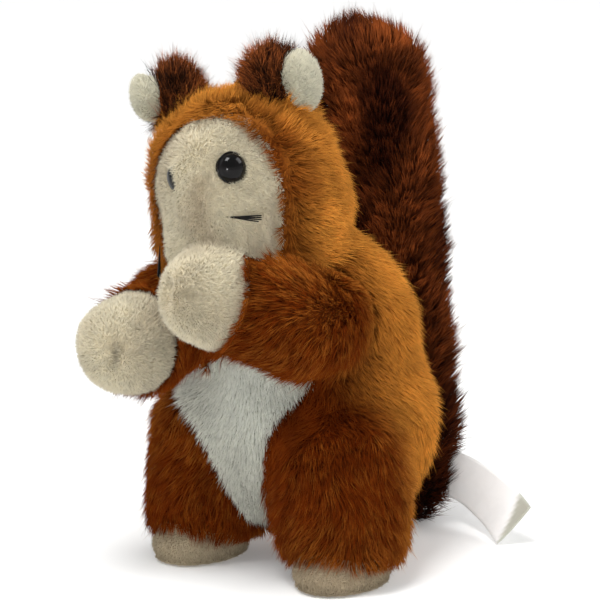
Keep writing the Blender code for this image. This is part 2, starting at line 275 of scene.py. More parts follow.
def distance_to(node: str, points: Points) -> np.ndarray:
    """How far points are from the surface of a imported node.

    Args:
        node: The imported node's name.
        points: Rows of positions.

    Returns:
        The distance of each point.
    """
    tree = node_tree(node)
    return np.array([tree.find_nearest(point)[3] for point in points.tolist()])


# ---- Mesh helpers ----


def mesh_points(mesh: bpy.types.Mesh) -> Points:
    """The points of a mesh.

    Args:
        mesh: The mesh.

    Returns:
        Rows of positions, in millimetres.
    """
    flat = np.empty(len(mesh.vertices) * 3, np.float32)
    mesh.vertices.foreach_get("co", flat)
    return flat.reshape(-1, 3).astype(float) / MM


def mesh_normals(mesh: bpy.types.Mesh) -> Points:
    """The normals at the points of a mesh.

    Args:
        mesh: The mesh.

    Returns:
        Rows of directions.
    """
    flat = np.empty(len(mesh.vertices) * 3, np.float32)
    mesh.vertex_normals.foreach_get("vector", flat)
    return flat.reshape(-1, 3).astype(float)


def mesh_edges(mesh: bpy.types.Mesh) -> np.ndarray:
    """The two points of each edge of a mesh.

    Args:
        mesh: The mesh.

    Returns:
        Rows of two numbers of points.
    """
    flat = np.empty(len(mesh.edges) * 2, np.int32)
    mesh.edges.foreach_get("vertices", flat)
    return flat.reshape(-1, 2)


def mesh_triangles(mesh: bpy.types.Mesh) -> tuple[np.ndarray, np.ndarray]:
    """The points and the corners (loops) of each triangle of a mesh.

    Args:
        mesh: The mesh.

    Returns:
        Rows of three numbers of points, and rows of three numbers of loops.
    """
    mesh.calc_loop_triangles()
    count = len(mesh.loop_triangles)
    points, loops = np.empty(count * 3, np.int32), np.empty(count * 3, np.int32)
    mesh.loop_triangles.foreach_get("vertices", points)
    mesh.loop_triangles.foreach_get("loops", loops)
    return points.reshape(-1, 3), loops.reshape(-1, 3)


def move_points(mesh: bpy.types.Mesh, points: Points) -> None:
    """Puts the points of a mesh at new places."""
    mesh.vertices.foreach_set("co", (points * MM).astype(np.float32).ravel())
    mesh.update()


def paint(mesh: bpy.types.Mesh, name: str, values: np.ndarray) -> None:
    """Stores one number for each point of a mesh under a name that a material reads."""
    layer = mesh.attributes.new(name, "FLOAT", "POINT")
    layer.data.foreach_set("value", values.astype(np.float32))


def spread_evenly(values: np.ndarray, edges: np.ndarray, rounds: int) -> np.ndarray:
    """Averages what each point holds with its neighbours.

    Args:
        values: One row or number for each point.
        edges: The two points of each edge.
        rounds: How many times.

    Returns:
        The averaged rows or numbers.
    """
    values = values.reshape(len(values), -1)
    degree = np.bincount(edges.ravel(), minlength=len(values)).astype(float)[:, None]
    for _ in range(rounds):
        total = np.empty_like(values)
        for i in range(values.shape[1]):
            column = values[:, i]
            total[:, i] = np.bincount(edges[:, 0], column[edges[:, 1]], len(values))
            total[:, i] += np.bincount(edges[:, 1], column[edges[:, 0]], len(values))
        values = (values + total / np.maximum(degree, 1)) / 2
    return values.squeeze()


def place(mesh: bpy.types.Mesh, name: str) -> bpy.types.Object:
    """Puts a mesh in the scene as an object.

    Args:
        mesh: The mesh.
        name: The object's name.

    Returns:
        The object.
    """
    thing = bpy.data.objects.new(name, mesh)
    bpy.context.scene.collection.objects.link(thing)
    return thing


def placed_work(work: bmesh.types.BMesh, name: str, smooth: bool = True) -> bpy.types.Object:
    """Turns a bmesh in millimetres into an object of the scene.

    Args:
        work: The bmesh, which is freed.
        name: The object's name.
        smooth: Whether it is shaded smooth.

    Returns:
        The object.
    """
    bmesh.ops.recalc_face_normals(work, faces=work.faces)
    bmesh.ops.scale(work, vec=(MM, MM, MM), verts=work.verts)
    mesh = bpy.data.meshes.new(name)
    work.to_mesh(mesh)
    work.free()
    if smooth:
        mesh.shade_smooth()
    return place(mesh, name)


def apply_modifiers(thing: bpy.types.Object) -> bpy.types.Object:
    """Replaces an object's mesh by what its modifiers make of it.

    Args:
        thing: The object.

    Returns:
        The same object.
    """
    graph = bpy.context.evaluated_depsgraph_get()
    made = bpy.data.meshes.new_from_object(thing.evaluated_get(graph), depsgraph=graph)
    thing.modifiers.clear()
    thing.data = made
    return thing


def add_node_mesh(work: bmesh.types.BMesh, node: str, swell: float) -> None:
    """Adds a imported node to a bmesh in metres, welded and a little larger.

    Args:
        work: The bmesh.
        node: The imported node's name.
        swell: How far its surface moves out.
    """
    part = bmesh.new()
    part.from_mesh(frame["nodes"][node].data)
    bmesh.ops.remove_doubles(part, verts=part.verts, dist=WELD)
    part.normal_update()
    for point in part.verts:
        point.co += point.normal * swell * MM
    mesh = bpy.data.meshes.new(node)
    part.to_mesh(mesh)
    part.free()
    work.from_mesh(mesh)
    bpy.data.meshes.remove(mesh)


def tube(
    work: bmesh.types.BMesh,
    line: Sequence[Vector],
    widths: Sequence[float],
    sides: int = 8,
    flatness: float = 1.0,
) -> None:
    """Adds a closed tube along a line to a bmesh.

    Args:
        work: The bmesh, in millimetres.
        line: Points along the middle of the tube.
        widths: The radius at each point.
        sides: The number of faces around it.
        flatness: The second radius as a share of the first.
    """
    rings = []
    last = len(line) - 1
    for i, (middle, width) in enumerate(zip(line, widths)):
        heading = (line[min(i + 1, last)] - line[max(i - 1, 0)]).normalized()
        turn = heading.to_track_quat("Z", "Y")
        ring = []
        for k in range(sides):
            angle = 2 * math.pi * k / sides
            offset = Vector((math.cos(angle) * width, math.sin(angle) * width * flatness, 0))
            ring.append(work.verts.new(middle + turn @ offset))
        rings.append(ring)
    for low, high in zip(rings, rings[1:]):
        for k in range(sides):
            nxt = (k + 1) % sides
            work.faces.new((low[k], low[nxt], high[nxt], high[k]))
    work.faces.new(rings[0][::-1])
    work.faces.new(rings[-1])


# ---- Finishes ----


class NodeSheet:
    """A short way to write a node tree, for a group or a material."""

    def __init__(self, tree: bpy.types.NodeTree) -> None:
        """Keeps the tree that nodes are added to."""
        self.tree = tree

    def add(self, kind: str, **settings: object) -> bpy.types.Node:
        """Adds a node.

        Args:
            kind: The node's type, such as ShaderNodeMix.
            settings: Its own properties by name.

        Returns:
            The node.
        """
        made = self.tree.nodes.new(kind)
        for name, value in settings.items():
            setattr(made, name, value)
        return made

    def link(self, source: Socket, target: Socket) -> None:
        """Joins an output to an input."""
        self.tree.links.new(source, target)

    def math(
        self, operation: str, first: Socket, second: Socket | float, clamp: bool = False
    ) -> Socket:
        """Adds a Math node.

        Args:
            operation: Its operation, such as MULTIPLY.
            first: A socket.
            second: A socket or a number.
            clamp: Whether the result is kept from 0 to 1.

        Returns:
            Its output.
        """
        made = self.add("ShaderNodeMath", operation=operation, use_clamp=clamp)
        self.link(first, made.inputs[0])
        if isinstance(second, float):
            made.inputs[1].default_value = second
        else:
            self.link(second, made.inputs[1])
        return made.outputs[0]

    def mix(self, share: Socket, first: Socket | Colour, second: Socket | Colour) -> Socket:
        """Blends two colours.

        Args:
            share: How much of the second.
            first: The first colour, or a socket that gives it.
            second: The second one.

        Returns:
            The blended colour.
        """
        made = self.add("ShaderNodeMix", data_type="RGBA")
        self.link(share, made.inputs[0])
        for value, socket in zip((first, second), made.inputs[6:8]):
            if isinstance(value, tuple):
                socket.default_value = (*value, 1)
            else:
                self.link(value, socket)
        return made.outputs[2]

    def noise(self, scale: float, detail: float, place_from: Socket) -> Socket:
        """Adds a noise texture.

        Args:
            scale: Its scale, for each metre.
            detail: How many finer layers it has.
            place_from: The coordinates that it reads.

        Returns:
            Its value output.
        """
        made = self.add("ShaderNodeTexNoise")
        made.inputs["Scale"].default_value = scale
        made.inputs["Detail"].default_value = detail
        self.link(place_from, made.inputs["Vector"])
        return made.outputs[0]

    def between(
        self, value: Socket, low: float, high: float, start: float = 0.0, end: float = 1.0
    ) -> Socket:
        """Eases a value from start to end while it goes from low to high.

        Args:
            value: The value.
            low: Where the result is start.
            high: Where it is end.
            start: The first result.
            end: The last one.

        Returns:
            The eased value, kept between start and end.
        """
        made = self.add("ShaderNodeMapRange", interpolation_type="SMOOTHSTEP")
        for title, given in zip(RANGE_SOCKETS, (low, high, start, end)):
            made.inputs[title].default_value = given
        self.link(value, made.inputs["Value"])
        return made.outputs[0]


RANGE_SOCKETS = ("From Min", "From Max", "To Min", "To Max")


def new_material(name: str) -> tuple[bpy.types.Material, NodeSheet, bpy.types.Node]:
    """Starts a material.

    Args:
        name: The material's name.

    Returns:
        The material, its sheet and its shader.
    """
    made = bpy.data.materials.new(name)
    made.use_nodes = True
    return made, NodeSheet(made.node_tree), made.node_tree.nodes["Principled BSDF"]


def new_group(
    name: str, inputs: Sequence[tuple[str, str, object]], outputs: Sequence[tuple[str, str]]
) -> tuple[bpy.types.NodeTree, NodeSheet, bpy.types.Node, bpy.types.Node]:
    """Starts a shader node group.

    Args:
        name: The group's name.
        inputs: The name, the type and the standard value of each input.
        outputs: The name and the type of each output.

    Returns:
        The group, its sheet, and its input and output nodes.
    """
    group = bpy.data.node_groups.new(name, "ShaderNodeTree")
    for title, kind, value in inputs:
        socket = group.interface.new_socket(title, in_out="INPUT", socket_type="NodeSocket" + kind)
        socket.default_value = value
    for title, kind in outputs:
        group.interface.new_socket(title, in_out="OUTPUT", socket_type="NodeSocket" + kind)
    sheet = NodeSheet(group)
    return group, sheet, sheet.add("NodeGroupInput"), sheet.add("NodeGroupOutput")


PILE_PATCHES, PILE_FLECKS = 70.0, 420.0  # for each metre
FLECK_DEPTH = 0.16  # how much darker or paler a fleck is
BODY_FADING = 0.55  # how far fading reaches down a fibre's body
CLOTH_UNEVEN = 160.0  # broad unevenness of a cloth, for each metre


def pile_colour_group() -> bpy.types.NodeTree:
    """The colour of a dyed pile, shared by each skin and by the tufts on it.

    A fibre is darkest at its root and palest at its tip. Broad patches turn it darker in some places and
    paler in others, painted shade that stands for pile lying another way, and each tuft has a shade of its
    own.

    Returns:
        The node group.
    """
    white = (1.0, 1.0, 1.0, 1.0)
    group, sheet, given, out = new_group(
        "pile colour",
        [
            ("Root", "Color", white),
            ("Body", "Color", white),
            ("Tip", "Color", white),
            ("Worn", "Color", white),
            ("Along", "Float", 0.38),
            ("Shade", "Float", 0.5),
            ("Fade", "Float", 0.0),
            ("Shade Range", "Float", 0.5),
            ("Patch Shade", "Float", 0.4),
        ],
        [("Color", "Color")],
    )
    place_from = sheet.add("ShaderNodeTexCoord").outputs["Object"]
    patches = sheet.between(sheet.noise(PILE_PATCHES, 3.0, place_from), 0.36, 0.64)
    flecks = sheet.between(sheet.noise(PILE_FLECKS, 2.0, place_from), 0.3, 0.7)
    low = sheet.between(given.outputs["Along"], 0.0, 0.5)
    high = sheet.between(given.outputs["Along"], 0.45, 1.0)
    fibre = sheet.mix(low, given.outputs["Root"], given.outputs["Body"])
    tipped = sheet.mix(high, fibre, given.outputs["Tip"])
    reach = sheet.math("ADD", high, sheet.math("MULTIPLY", low, BODY_FADING), clamp=True)
    # Fade brings in fading, and on some pieces painted highlights and painted shade, in the worn colour.
    pale = sheet.math("MULTIPLY", given.outputs["Fade"], reach)
    faded = sheet.mix(pale, tipped, given.outputs["Worn"])
    own = sheet.math("SUBTRACT", given.outputs["Shade"], 0.5)
    own = sheet.math("MULTIPLY", own, given.outputs["Shade Range"])
    # Painted shade in broad patches, for pile lying another way.
    turned = sheet.math("SUBTRACT", patches, 0.5)
    turned = sheet.math("MULTIPLY", turned, given.outputs["Patch Shade"])
    fleck = sheet.math("MULTIPLY", sheet.math("SUBTRACT", flecks, 0.5), FLECK_DEPTH)
    value = sheet.math("ADD", sheet.math("ADD", own, turned), fleck)
    bright = sheet.math("ADD", value, 1.0)
    scaled = sheet.add("ShaderNodeVectorMath", operation="SCALE")
    sheet.link(faded, scaled.inputs[0])
    sheet.link(bright, scaled.inputs["Scale"])
    sheet.link(scaled.outputs[0], out.inputs["Color"])
    return group


def cloth_height_group() -> bpy.types.NodeTree:
    """The height of a woven backing or ribbon, with fine uneven threads.

    Returns:
        The node group.
    """
    group, sheet, given, out = new_group(
        "cloth height", [("Threads", "Float", 900.0)], [("Height", "Float")]
    )
    place_from = sheet.add("ShaderNodeTexCoord").outputs["Object"]
    threads = sheet.add("ShaderNodeTexNoise")
    threads.inputs["Detail"].default_value = 2.0
    sheet.link(given.outputs["Threads"], threads.inputs["Scale"])
    sheet.link(place_from, threads.inputs["Vector"])
    coarse = sheet.noise(CLOTH_UNEVEN, 2.0, place_from)
    total = sheet.math("ADD", threads.outputs[0], coarse)
    sheet.link(total, out.inputs["Height"])
    return group


class Groups:
    """The shader node groups, each built once."""

    def __init__(self) -> None:
        """Builds the groups."""
        self.pile = pile_colour_group()
        self.cloth = cloth_height_group()

    def weave(
        self,
        sheet: NodeSheet,
        shader: bpy.types.Node,
        threads: float,
        strength: float,
        height: float,
    ) -> None:
        """Gives a material the uneven surface of cloth.

        Args:
            sheet: The material's sheet.
            shader: Its shader.
            threads: How many there are for each metre.
            strength: Of the bumps.
            height: Of the bumps.
        """
        cloth = sheet.add("ShaderNodeGroup", node_tree=self.cloth)
        cloth.inputs["Threads"].default_value = threads
        bump = sheet.add("ShaderNodeBump")
        bump.inputs["Strength"].default_value = strength
        bump.inputs["Distance"].default_value = height * MM
        sheet.link(cloth.outputs["Height"], bump.inputs["Height"])
        sheet.link(bump.outputs["Normal"], shader.inputs["Normal"])


@dataclass(frozen=True)
class PileFinish:
    """The dye of a pile, and the painted highlights and painted shade on it, in linear colours.

    Attributes:
        root: Colour where a fibre leaves the cloth.
        body: Colour along most of it.
        tip: Colour of its end.
        worn: Colour of the end where light has faded it, and of the painted highlights and painted shade
            on some pieces.
        shade_range: How much tufts differ from each other.
        patch_shade: How dark the painted shade is in the patches where it stands for pile lying another
            way.
        roughness: Of the fibres.
        gloss: How much light the fibres mirror.
    """

    root: Colour
    body: Colour
    tip: Colour
    worn: Colour
    shade_range: float = 0.5
    patch_shade: float = 0.4
    roughness: float = 0.7
    gloss: float = 0.03

    def material(self, name: str, groups: Groups, tufts: bool) -> bpy.types.Material:
        """Makes the material of the skin or of its tufts.

        Args:
            name: The material's name.
            groups: The shared node groups.
            tufts: Whether it is for tufts, which store where each point is along its fibre.

        Returns:
            The material.
        """
        made, sheet, shader = new_material(name)
        colour = sheet.add("ShaderNodeGroup", node_tree=groups.pile)
        for socket, value in zip(
            ("Root", "Body", "Tip", "Worn"), (self.root, self.body, self.tip, self.worn)
        ):
            colour.inputs[socket].default_value = (*value, 1)
        colour.inputs["Shade Range"].default_value = self.shade_range
        colour.inputs["Patch Shade"].default_value = self.patch_shade
        read = ("Along", "Shade", "Fade") if tufts else ("Fade",)
        for socket in read:
            layer = sheet.add("ShaderNodeAttribute", attribute_name=socket.lower())
            sheet.link(layer.outputs["Fac"], colour.inputs[socket])
        sheet.link(colour.outputs["Color"], shader.inputs["Base Color"])
        shader.inputs["Roughness"].default_value = self.roughness
        shader.inputs["Specular IOR Level"].default_value = self.gloss
        if not tufts:
            groups.weave(sheet, shader, threads=900.0, strength=0.5, height=0.4)
        return made


@dataclass(frozen=True)
class HardFinish:
    """A hard, thread or ribbon finish.

    Attributes:
        colour: Base colour, linear.
        second: The colour that small patches turn to.
        patches: How many patches there are for each metre.
        roughness: At the glossiest and at the dullest spots.
        bump: Height of the unevenness.
        grain: How many bumps there are for each metre.
        sheen: How much grazing light it catches.
        gloss: How much light it mirrors.
        shade_colour: The colour of the shade painted on parts of a piece, if it has any.
    """

    colour: Colour
    second: Colour
    patches: float
    roughness: tuple[float, float]
    bump: float
    grain: float
    sheen: float = 0.0
    gloss: float = 0.3
    shade_colour: Colour | None = None

    def material(self, name: str, groups: Groups) -> bpy.types.Material:
        """Makes the material.

        Args:
            name: The material's name.
            groups: The shared node groups.

        Returns:
            The material.
        """
        made, sheet, shader = new_material(name)
        place_from = sheet.add("ShaderNodeTexCoord").outputs["Object"]
        mask = sheet.between(sheet.noise(self.patches, 3.0, place_from), 0.4, 0.65)
        colour = sheet.mix(mask, self.colour, self.second)
        # Painted shade: where the mesh asks for it, the colour is mixed towards a grey.
        if self.shade_colour:
            painted_shade = sheet.add("ShaderNodeAttribute", attribute_name="painted_shade")
            colour = sheet.mix(painted_shade.outputs["Fac"], colour, self.shade_colour)
        sheet.link(colour, shader.inputs["Base Color"])
        rough = sheet.add("ShaderNodeMapRange")
        rough.inputs["To Min"].default_value, rough.inputs["To Max"].default_value = self.roughness
        sheet.link(mask, rough.inputs["Value"])
        sheet.link(rough.outputs[0], shader.inputs["Roughness"])
        shader.inputs["Specular IOR Level"].default_value = self.gloss
        shader.inputs["Sheen Weight"].default_value = self.sheen
        groups.weave(sheet, shader, threads=self.grain, strength=0.4, height=self.bump)
        return made


GINGER = PileFinish(
    root=(0.050, 0.009, 0.001),
    body=(0.130, 0.020, 0.001),
    tip=(0.200, 0.034, 0.002),
    # Also the pale gold of the painted highlights on the arms' tops and the legs' outer sides.
    worn=(0.820, 0.340, 0.052),
    shade_range=0.34,
    patch_shade=0.24,
)
DARK = PileFinish(
    root=(0.006, 0.003, 0.002),
    body=(0.012, 0.003, 0.002),
    tip=(0.060, 0.012, 0.003),
    worn=(0.258, 0.062, 0.013),
    shade_range=1.1,
    patch_shade=0.5,
)
EAR_DARK = PileFinish(
    root=(0.006, 0.003, 0.002),
    body=(0.010, 0.004, 0.002),
    tip=(0.020, 0.007, 0.003),
    worn=(0.420, 0.110, 0.026),
    shade_range=1.2,
    patch_shade=0.3,
)
CREAM = PileFinish(
    root=(0.563, 0.487, 0.339),
    body=(0.664, 0.597, 0.439),
    tip=(0.721, 0.661, 0.506),
    # Also the brown of the painted shade in the muzzle's crease and in the paws' puckers.
    worn=(0.306, 0.196, 0.115),
    shade_range=0.12,
    patch_shade=0.12,
    roughness=0.85,
)
FOOT = PileFinish(
    root=(0.369, 0.297, 0.198),
    body=(0.432, 0.356, 0.243),
    tip=(0.495, 0.419, 0.293),
    worn=(0.315, 0.234, 0.153),
    shade_range=0.14,
    patch_shade=0.16,
    roughness=0.85,
)
LINING = PileFinish(
    root=(0.487, 0.452, 0.339),
    body=(0.626, 0.600, 0.470),
    tip=(0.687, 0.670, 0.539),
    worn=(0.539, 0.487, 0.365),
    shade_range=0.14,
    patch_shade=0.14,
    roughness=0.85,
)
WHITE = PileFinish(
    root=(0.540, 0.540, 0.455),
    body=(0.680, 0.688, 0.600),
    tip=(0.755, 0.765, 0.690),
    # Also the grey of the painted shadow under the paws.
    worn=(0.500, 0.430, 0.320),
    shade_range=0.12,
    patch_shade=0.10,
    roughness=0.75,
)
BLACK_PLASTIC = HardFinish(
    colour=(0.002, 0.002, 0.002),
    second=(0.004, 0.003, 0.003),
    patches=260.0,
    roughness=(0.06, 0.10),
    bump=0.006,
    grain=500.0,
    gloss=0.17,
)
BLACK_BRISTLE = HardFinish(
    colour=(0.003, 0.003, 0.003),
    second=(0.007, 0.006, 0.005),
    patches=500.0,
    roughness=(0.4, 0.6),
    bump=0.03,
    grain=1500.0,
    gloss=0.1,
)
BLACK_THREAD = HardFinish(
    colour=(0.012, 0.009, 0.008),
    second=(0.030, 0.022, 0.018),
    patches=900.0,
    roughness=(0.45, 0.7),
    bump=0.05,
    grain=2500.0,
    sheen=0.3,
)
RIBBON = HardFinish(
    colour=(0.93, 0.93, 0.92),
    second=(0.89, 0.89, 0.88),
    patches=120.0,
    roughness=(0.4, 0.6),
    bump=0.05,
    grain=3000.0,
    sheen=0.1,
    # The grey of the shade painted on the label's turned corner.
    shade_colour=(0.46, 0.46, 0.39),
)


# ---- The form under the pile ----


@dataclass(frozen=True)
class Furrow:
    """A groove that stitching or stuffing pulls into the form.

    Attributes:
        line: Points along it.
        depth: How deep it is, or how high where it is negative.
        width: The distance over which it fades out.
    """

    line: tuple[Place, ...]
    depth: float
    width: float

    def pull(self, points: Points) -> np.ndarray:
        """How far each point is pulled in."""
        apart = line_distance(points, np.array(self.line, float))
        return self.depth * np.exp(-((apart / self.width) ** 2))


@dataclass
class SewnForm:
    """The toy as one eased form inside the solids, before it is parted at its seams.

    Attributes:
        depths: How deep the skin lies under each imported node.
        cell: Size of the grid on which the nodes are merged.
        swell: How far the nodes grow first, so that their gaps close.
        ease_rounds: Rounds of smoothing of the merged form.
        normal_rounds: Rounds of smoothing of the directions in which it is laid inside.
        blend_rounds: Rounds over which one pile's depth turns into the next one's.
        sole: Height below which the form keeps its distance to the floor.
        floor_gap: That distance.
        lumps: How uneven the stuffing is, as a share of the pile's depth.
        lump_pitch: The rough size of the lumps.
        furrows: Where stitches pull it in.
    """

    depths: dict[str, float]
    cell: float = 1.6
    swell: float = 0.6
    ease_rounds: int = 12
    normal_rounds: int = 6
    blend_rounds: int = 5
    sole: float = 3.5
    floor_gap: float = 0.5
    lumps: float = 0.14
    lump_pitch: float = 8.0
    furrows: list[Furrow] = field(default_factory=list)

    def build(self) -> None:
        """Merges the nodes, eases the form and lays it inside them."""
        work = bmesh.new()
        for node in self.depths:
            add_node_mesh(work, node, self.swell)
        mesh = bpy.data.meshes.new("sewn_form")
        work.to_mesh(mesh)
        work.free()
        self.thing = place(mesh, "sewn_form")
        merge = self.thing.modifiers.new("merge", "REMESH")
        merge.mode = "VOXEL"
        merge.voxel_size = self.cell * MM
        ease = self.thing.modifiers.new("ease", "SMOOTH")
        ease.factor = 0.5
        ease.iterations = self.ease_rounds
        apply_modifiers(self.thing)
        self.lay_inside()
        self.tree = search_tree(self.points, mesh_triangles(self.thing.data)[0])
        log.info("form: %d points", len(self.points))

    def lay_inside(self) -> None:
        """Moves the form's surface in by the depth of the pile, and into the furrows."""
        mesh = self.thing.data
        points, edges = mesh_points(mesh), mesh_edges(mesh)
        normals = unit(spread_evenly(mesh_normals(mesh), edges, self.normal_rounds))
        depth = spread_evenly(self.depth_at(points), edges, self.blend_rounds)
        depth *= 1 + self.lumps * swirl(points, self.lump_pitch, Swirl.STUFFING)
        moved = points - normals * (depth + self.swell)[:, None]
        kept = eased(points[:, 2], self.sole, self.sole / 3)
        moved[:, 2] = moved[:, 2] * (1 - kept) + self.floor_gap * kept
        for furrow in self.furrows:
            moved -= normals * furrow.pull(moved)[:, None]
        move_points(mesh, moved)
        self.points, self.normals = moved, mesh_normals(mesh)

    def depth_at(self, points: Points) -> np.ndarray:
        """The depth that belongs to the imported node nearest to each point.

        Args:
            points: Rows of positions.

        Returns:
            One depth for each.
        """
        corners, faces, depths = [], [], []
        for node, depth in self.depths.items():
            mesh = frame["nodes"][node].data
            triangles, _ = mesh_triangles(mesh)
            faces.append(triangles + sum(len(c) for c in corners))
            corners.append(mesh_points(mesh))
            depths.append(np.full(len(triangles), depth))
        tree = search_tree(np.concatenate(corners), np.concatenate(faces))
        nearest = [tree.find_nearest(point)[2] for point in points.tolist()]
        return np.concatenate(depths)[nearest]

    def normals_near(self, points: Points) -> Points:
        """The form's smooth normals at places on it.

        Args:
            points: Rows of positions.

        Returns:
            Rows of directions.
        """
        tree = KDTree(len(self.points))
        for i, point in enumerate(self.points.tolist()):
            tree.insert(point, i)
        tree.balance()
        return self.normals[[tree.find(point)[1] for point in points.tolist()]]


# ---- Pile ----


@dataclass(frozen=True)
class Pile:
    """How a pile grows.

    Attributes:
        depth: How deep its skin lies under the solids.
        length: Of a tuft, from root to tip.
        width: Of a tuft where it is widest.
        density: Tufts for each square millimetre.
        rise: Angle from the skin to the lower half of a tuft.
        droop: Angle from the skin to its upper half.
        stray: How far the tufts point apart, as a share of their length.
        clump: How many tufts lean to one tip.
        gather: How far they lean, as a share of the way.
        guard: The share of tufts that are long, loose guard hairs.
        sweep: How far broad swirls turn the lie, in degrees.
        mottle: How much more faded pale tufts are than dark ones.
    """

    depth: float
    length: float
    width: float
    density: float
    rise: float
    droop: float
    stray: float
    clump: int
    gather: float
    guard: float = 0.06
    sweep: float = 14.0
    mottle: float = 0.1


LONG_PILE = Pile(5.4, 10.2, 0.32, 2.3, 54, 27, 0.24, 14, 0.32)
LIMB_PILE = replace(LONG_PILE, sweep=24.0, gather=0.4, mottle=0.35)
TAIL_PILE = Pile(7.8, 13.4, 0.34, 2.2, 62, 42, 0.22, 16, 0.46, 0.06, 16.0, 0.35)
EAR_PILE = Pile(5.2, 9.8, 0.26, 4.6, 62, 50, 0.48, 6, 0.34, 0.3, 16.0, 1.2)
BELLY_PILE = Pile(3.6, 7.0, 0.28, 4.4, 42, 20, 0.18, 14, 0.22, 0.02, 8.0)
PLUSH = Pile(2.4, 3.2, 0.32, 5.4, 66, 50, 0.36, 8, 0.14, 0.0, 8.0)
FOOT_PLUSH = replace(PLUSH, density=3.6, width=0.4, rise=46, droop=24)
LINING_PLUSH = replace(PLUSH, depth=2.2)


@dataclass
class Roots:
    """Where tufts leave a skin.

    Attributes:
        points: Their places.
        normals: The skin's normals there.
        uv: The same places on the skin's unwrap.
    """

    points: Points
    normals: Points
    uv: np.ndarray

    def __len__(self) -> int:
        """How many there are."""
        return len(self.points)

    def part(self, chosen: np.ndarray) -> "Roots":
        """Only some of them."""
        return Roots(self.points[chosen], self.normals[chosen], self.uv[chosen])


@dataclass
class Tufts:
    """The points of many tufts, and what their material reads.

    A tuft is a closed spindle: a root, three corners round its bend, and a tip.

    Attributes:
        points: Five for each tuft, as (tufts, 5, 3).
        shade: A number for each point.
        uv: The root's place on the skin's unwrap.
    """

    points: np.ndarray
    shade: np.ndarray
    uv: np.ndarray

    ALONG = (0.0, 0.5, 0.5, 0.5, 1.0)  # from root to tip
    FACES = ((0, 2, 1), (0, 3, 2), (0, 1, 3), (1, 2, 4), (2, 3, 4), (3, 1, 4))

    @staticmethod
    def patch() -> np.ndarray:
        """Where the corners of each face lie on a tuft's patch of the unwrap.

        Returns:
            Rows of three corners, in shares of the patch.
        """
        spots = []
        for foot, turned in ((0.0, 1), (1.0, -1)):
            for side in range(3):
                left, right = (side / 3, 0.5), ((side + 1) / 3, 0.5)
                end = ((side / 3 + (side + 1) / 3) / 2, foot)
                spots.append((end, right, left) if turned > 0 else (left, right, end))
        return np.array(spots)

    def part(self, chosen: np.ndarray) -> "Tufts":
        """Only some of them."""
        return Tufts(self.points[chosen], self.shade[chosen], self.uv[chosen])

    def pieces(self, name: str, wear_and_painted_light: WearAndPaintedLight, mottle: float) -> list[bpy.types.Object]:
        """Makes coat pieces, sorted by height, each under the most triangles.

        Args:
            name: The pieces' name, which gets a number where there are several.
            wear_and_painted_light: How faded the pile is at given places, with painted highlights and
                painted shade on some pieces.
            mottle: How much more faded pale tufts are than dark ones.

        Returns:
            The objects.
        """
        count = max(1, math.ceil(len(self.shade) * len(self.FACES) / MOST_TRIANGLES))
        order = np.argsort(self.points[:, 0, 2], kind="stable")
        made = []
        for number, chosen in enumerate(np.array_split(order, count), start=1):
            title = name if count == 1 else f"{name}_{number}"
            made.append(self.part(chosen).piece(title, wear_and_painted_light, mottle))
        return made

    def piece(self, name: str, wear_and_painted_light: WearAndPaintedLight, mottle: float) -> bpy.types.Object:
        """Makes one coat piece.

        Args:
            name: The object's name.
            wear_and_painted_light: How faded the pile is at given places, with painted highlights and
                painted shade on some pieces.
            mottle: How much more faded pale tufts are than dark ones.

        Returns:
            The object.
        """
        count, size = self.points.shape[:2]
        starts = np.arange(count)[:, None, None] * size
        mesh = triangle_mesh(
            name, self.points.reshape(-1, 3), (starts + np.array(self.FACES)).reshape(-1, 3)
        )
        layer = mesh.uv_layers.new(name="OFBake")
        spots = self.uv[:, None, None] + self.patch() * PATCH
        layer.uv.foreach_set("vector", spots.astype(np.float32).ravel())
        paint(mesh, "along", np.tile(self.ALONG, count))
        paint(mesh, "shade", self.shade.ravel())
        # The fade attribute carries fading, and on some pieces painted highlights and painted shade.
        fade = wear_and_painted_light(self.points[:, 0]) + mottle * (self.shade[:, 0] - 0.5)
        paint(mesh, "fade", np.repeat(np.clip(fade, 0, 1), size))
        return place(mesh, name)


def triangle_mesh(name: str, points: Points, faces: np.ndarray) -> bpy.types.Mesh:
    """A smooth mesh from arrays.

    Args:
        name: The mesh's name.
        points: Its points.
        faces: The three points of each triangle.

    Returns:
        The mesh.
    """
    mesh = bpy.data.meshes.new(name)
    mesh.vertices.add(len(points))
    mesh.vertices.foreach_set("co", (points * MM).astype(np.float32).ravel())
    mesh.loops.add(faces.size)
    mesh.loops.foreach_set("vertex_index", faces.astype(np.int32).ravel())
    mesh.polygons.add(len(faces))
    mesh.polygons.foreach_set("loop_start", np.arange(0, faces.size, 3, dtype=np.int32))
    mesh.update(calc_edges=True)
    mesh.shade_smooth()
    return mesh


def untrimmed(points: Points) -> np.ndarray:
    """Tufts of full length."""
    return np.ones(len(points))


@dataclass(frozen=True)
class Fading:
    """How light and use have faded a pile.

    Attributes:
        evenly: How much all over.
        spots: How much more or less in spots.
        pitch: The rough size of the spots.
        kind: The field that places them.
    """

    evenly: float
    spots: float
    pitch: float
    kind: Swirl = Swirl.PILE_DYE

    def at(self, points: Points, more: np.ndarray | float = 0.0) -> np.ndarray:
        """How faded the pile is at given places, with more in some of them, which on some pieces is
        painted highlight and on others painted shade.
        """
        uneven = self.spots * swirl(points, self.pitch, self.kind)
        return np.clip(self.evenly + more + uneven, 0, 1)


